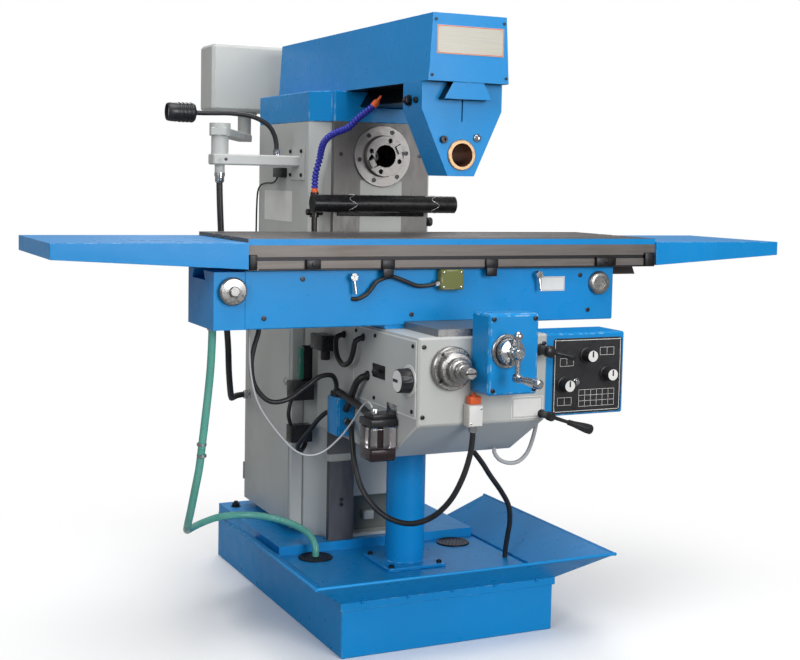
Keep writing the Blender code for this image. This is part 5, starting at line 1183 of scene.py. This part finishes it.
# ---- Column's left side: arm, lamp, conduits and sensors --------------------------------------
# A cast arm with a screwed foot carries the swinging control box and the lamp on its gooseneck.
# Below it are the travel sensors of the knee and their conduits.
dressed("support_arm", grey_enamel, 0.002)
dressed("swing_link", grey_enamel, 0.002)
dressed("pendant_box", grey_enamel, 0.006, 3)
add_screws([(-0.221, y, z) for y in (0.130, 0.228) for z in (1.343, 1.419)], LEFTWARD, 0.006, 0.005)
add_screws([(-0.476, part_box("support_arm")[0].y - 0.0005, 1.387)], FORWARD, 0.005, 0.003)
finished("arm_screws", bolt_black, "frame")
boss_at = Vector((-0.476, 0.180, 1.3445))
add_turned(outline((0.0125, 0.030), (0.0145, 0.026), (0.0145, 0.012), (0.0165, 0.010)), boss_at, -UPRIGHT, 24)
add_turned(plug(0.011, 0.018, 0.012, 0.016), (-0.288, 0.180, 1.4045), UPRIGHT, 6)
finished("arm_glands", chrome, "frame")
pendant_low, pendant_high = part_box("pendant_box")
add_block((pendant_low.x + 0.030, pendant_high.y - 0.0005, pendant_low.z + 0.030),
          (pendant_high.x - 0.030, pendant_high.y + 0.0012, pendant_high.z - 0.030), 0.0008)
for row in range(3):
    for column in range(4):
        x, z = pendant_low.x + 0.065 + column * 0.053, pendant_low.z + 0.065 + row * 0.052
        add_turned(outline((0.009, 0.0030), (0.010, 0.002), (0.012, 0.0012), foot=-0.0005),
                   (x, pendant_high.y + 0.001, z), BACKWARD, 20, material=1 if (row + column) % 3 else 2)
finished("pendant_buttons", [panel_black, label_white, orange_plastic], "pendant")
LAMP_NECK = (
    (-0.288, 0.180, 1.4045), (-0.289, 0.180, 1.440), (-0.296, 0.180, 1.468), (-0.312, 0.180, 1.494),
    (-0.340, 0.180, 1.513), (-0.380, 0.180, 1.526), (-0.440, 0.180, 1.5315), (-0.500, 0.180, 1.5300),
    (-0.530, 0.180, 1.529), (-0.553, 0.180, 1.529))
hose("lamp_gooseneck_ribbed", LAMP_NECK, 0.008, black_conduit, "frame", 0.0046, replace=("lamp_gooseneck",))
lamp_low, lamp_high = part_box("lamp_head")
lamp_at = Vector((lamp_high.x, *middle_of(lamp_low, lamp_high).yz))
deep = lamp_high.x - lamp_low.x
bell = (lamp_high.z - lamp_low.z) / 2
bell_line = [(0, 0.0), (0.011, 0.0), (0.013, 0.002), (0.026, 0.006), (0.0295, 0.010)]
for step in range(4):
    at = 0.012 + step * 0.0125
    bell_line += [(0.0305, at), (0.0310, at + 0.002), (0.0310, at + 0.007), (0.0290, at + 0.0085),
                  (0.0290, at + 0.011)]
bell_line += [(bell - 0.001, deep - 0.028), (bell - 0.002, deep - 0.010), (bell - 0.004, deep - 0.001),
              (bell - 0.005, deep), (bell - 0.007, deep), (bell - 0.008, deep - 0.012), (0, deep - 0.012)]
add_turned(bell_line, lamp_at, LEFTWARD, 40)
finished("lamp_bell", black_moulded, "frame", replace=("lamp_head",))
lens_glass = moulded("frosted_lens", "clear_plastic", (0.55, 0.55, 0.52), 0.35, 0.0, clear=0.3)
add_turned([(0, 0.003), (0.012, 0.002), (bell - 0.0085, 0.0), (bell - 0.0085, -0.002), (0, -0.002)],
           (lamp_low.x + 0.010, lamp_at.y, lamp_at.z), LEFTWARD, 32)
finished("lamp_lens", lens_glass, "frame")
POWER_CONDUIT = (
    (-0.476, 0.180, 1.3440), (-0.476, 0.180, 1.300), (-0.472, 0.180, 1.200), (-0.463, 0.181, 1.050),
    (-0.451, 0.183, 0.900), (-0.440, 0.190, 0.800), (-0.428, 0.215, 0.710), (-0.405, 0.270, 0.640),
    (-0.375, 0.350, 0.602), (-0.345, 0.430, 0.586), (-0.310, 0.485, 0.583), (-0.280, 0.500, 0.583),
    (-0.2576, 0.500, 0.583))
hose("power_conduit_ribbed", POWER_CONDUIT, 0.0105, black_conduit, "frame", 0.0060,
     replace=("power_conduit",))
add_turned(outline((0.0130, 0.022), (0.0150, 0.018), (0.0150, 0.006), (0.0175, 0.004)),
           (cabinet_low.x - 0.0035, 0.500, 0.583), LEFTWARD, 6)
finished("cabinet_gland", chrome, "frame")
side_x = column_low.x
add_block((side_x - 0.0010, 0.232, 1.190), (side_x, 0.498, 1.290))
finished("column_plate_blank", label_white, "frame")
add_block((side_x - 0.022, 0.283, 1.334), (side_x, 0.361, 1.366), 0.002)
add_block((-0.280, 0.020, 0.635), (side_x + 0.004, 0.080, 0.694), 0.003, 3)
add_block((-0.282, 0.030, 0.499), (side_x + 0.004, 0.075, 0.554), 0.003, 3)
finished("travel_sensors", black_moulded, "frame")
trip_green = enamel("green_trip_rail", "green_hose", (0.030, 0.180, 0.130), (0.3, 0.3, 0.3), 0.4)
add_block((-0.252, 0.036, 0.700), (-0.240, 0.060, 0.801), 0.001)
finished("trip_rail", trip_green, "frame")
add_block((-0.240, 0.040, 0.694), (side_x + 0.004, 0.056, 0.806), 0.001)
finished("trip_rail_bracket", bolt_black, "frame")
BETWEEN_SENSORS = (
    (-0.275, 0.050, 0.636), (-0.283, 0.046, 0.610), (-0.286, 0.044, 0.585), (-0.277, 0.048, 0.553))
LAMP_CABLE = (
    (-0.224, 0.347, 1.350), (-0.226, 0.344, 1.330), (-0.227, 0.380, 1.316), (-0.226, 0.450, 1.314),
    (-0.225, 0.510, 1.305), (-0.225, 0.540, 1.280), (-0.225, 0.549, 1.220), (-0.225, 0.551, 1.160),
    (-0.228, 0.545, 1.110), (-0.230, 0.535, 1.098))
hose("sensor_conduit", BETWEEN_SENSORS, 0.0065, black_conduit, "frame", 0.004)
hose("lamp_cable", LAMP_CABLE, 0.0030, black_conduit, "frame")
add_turned(outline((0.012, 0.022), (0.015, 0.018), (0.015, 0.006), (0.009, 0.003)), (0.188, 0.0595, 1.199),
           (0.7, -0.7, 0.0), 24)
finished("column_oil_cap", black_moulded, "frame")
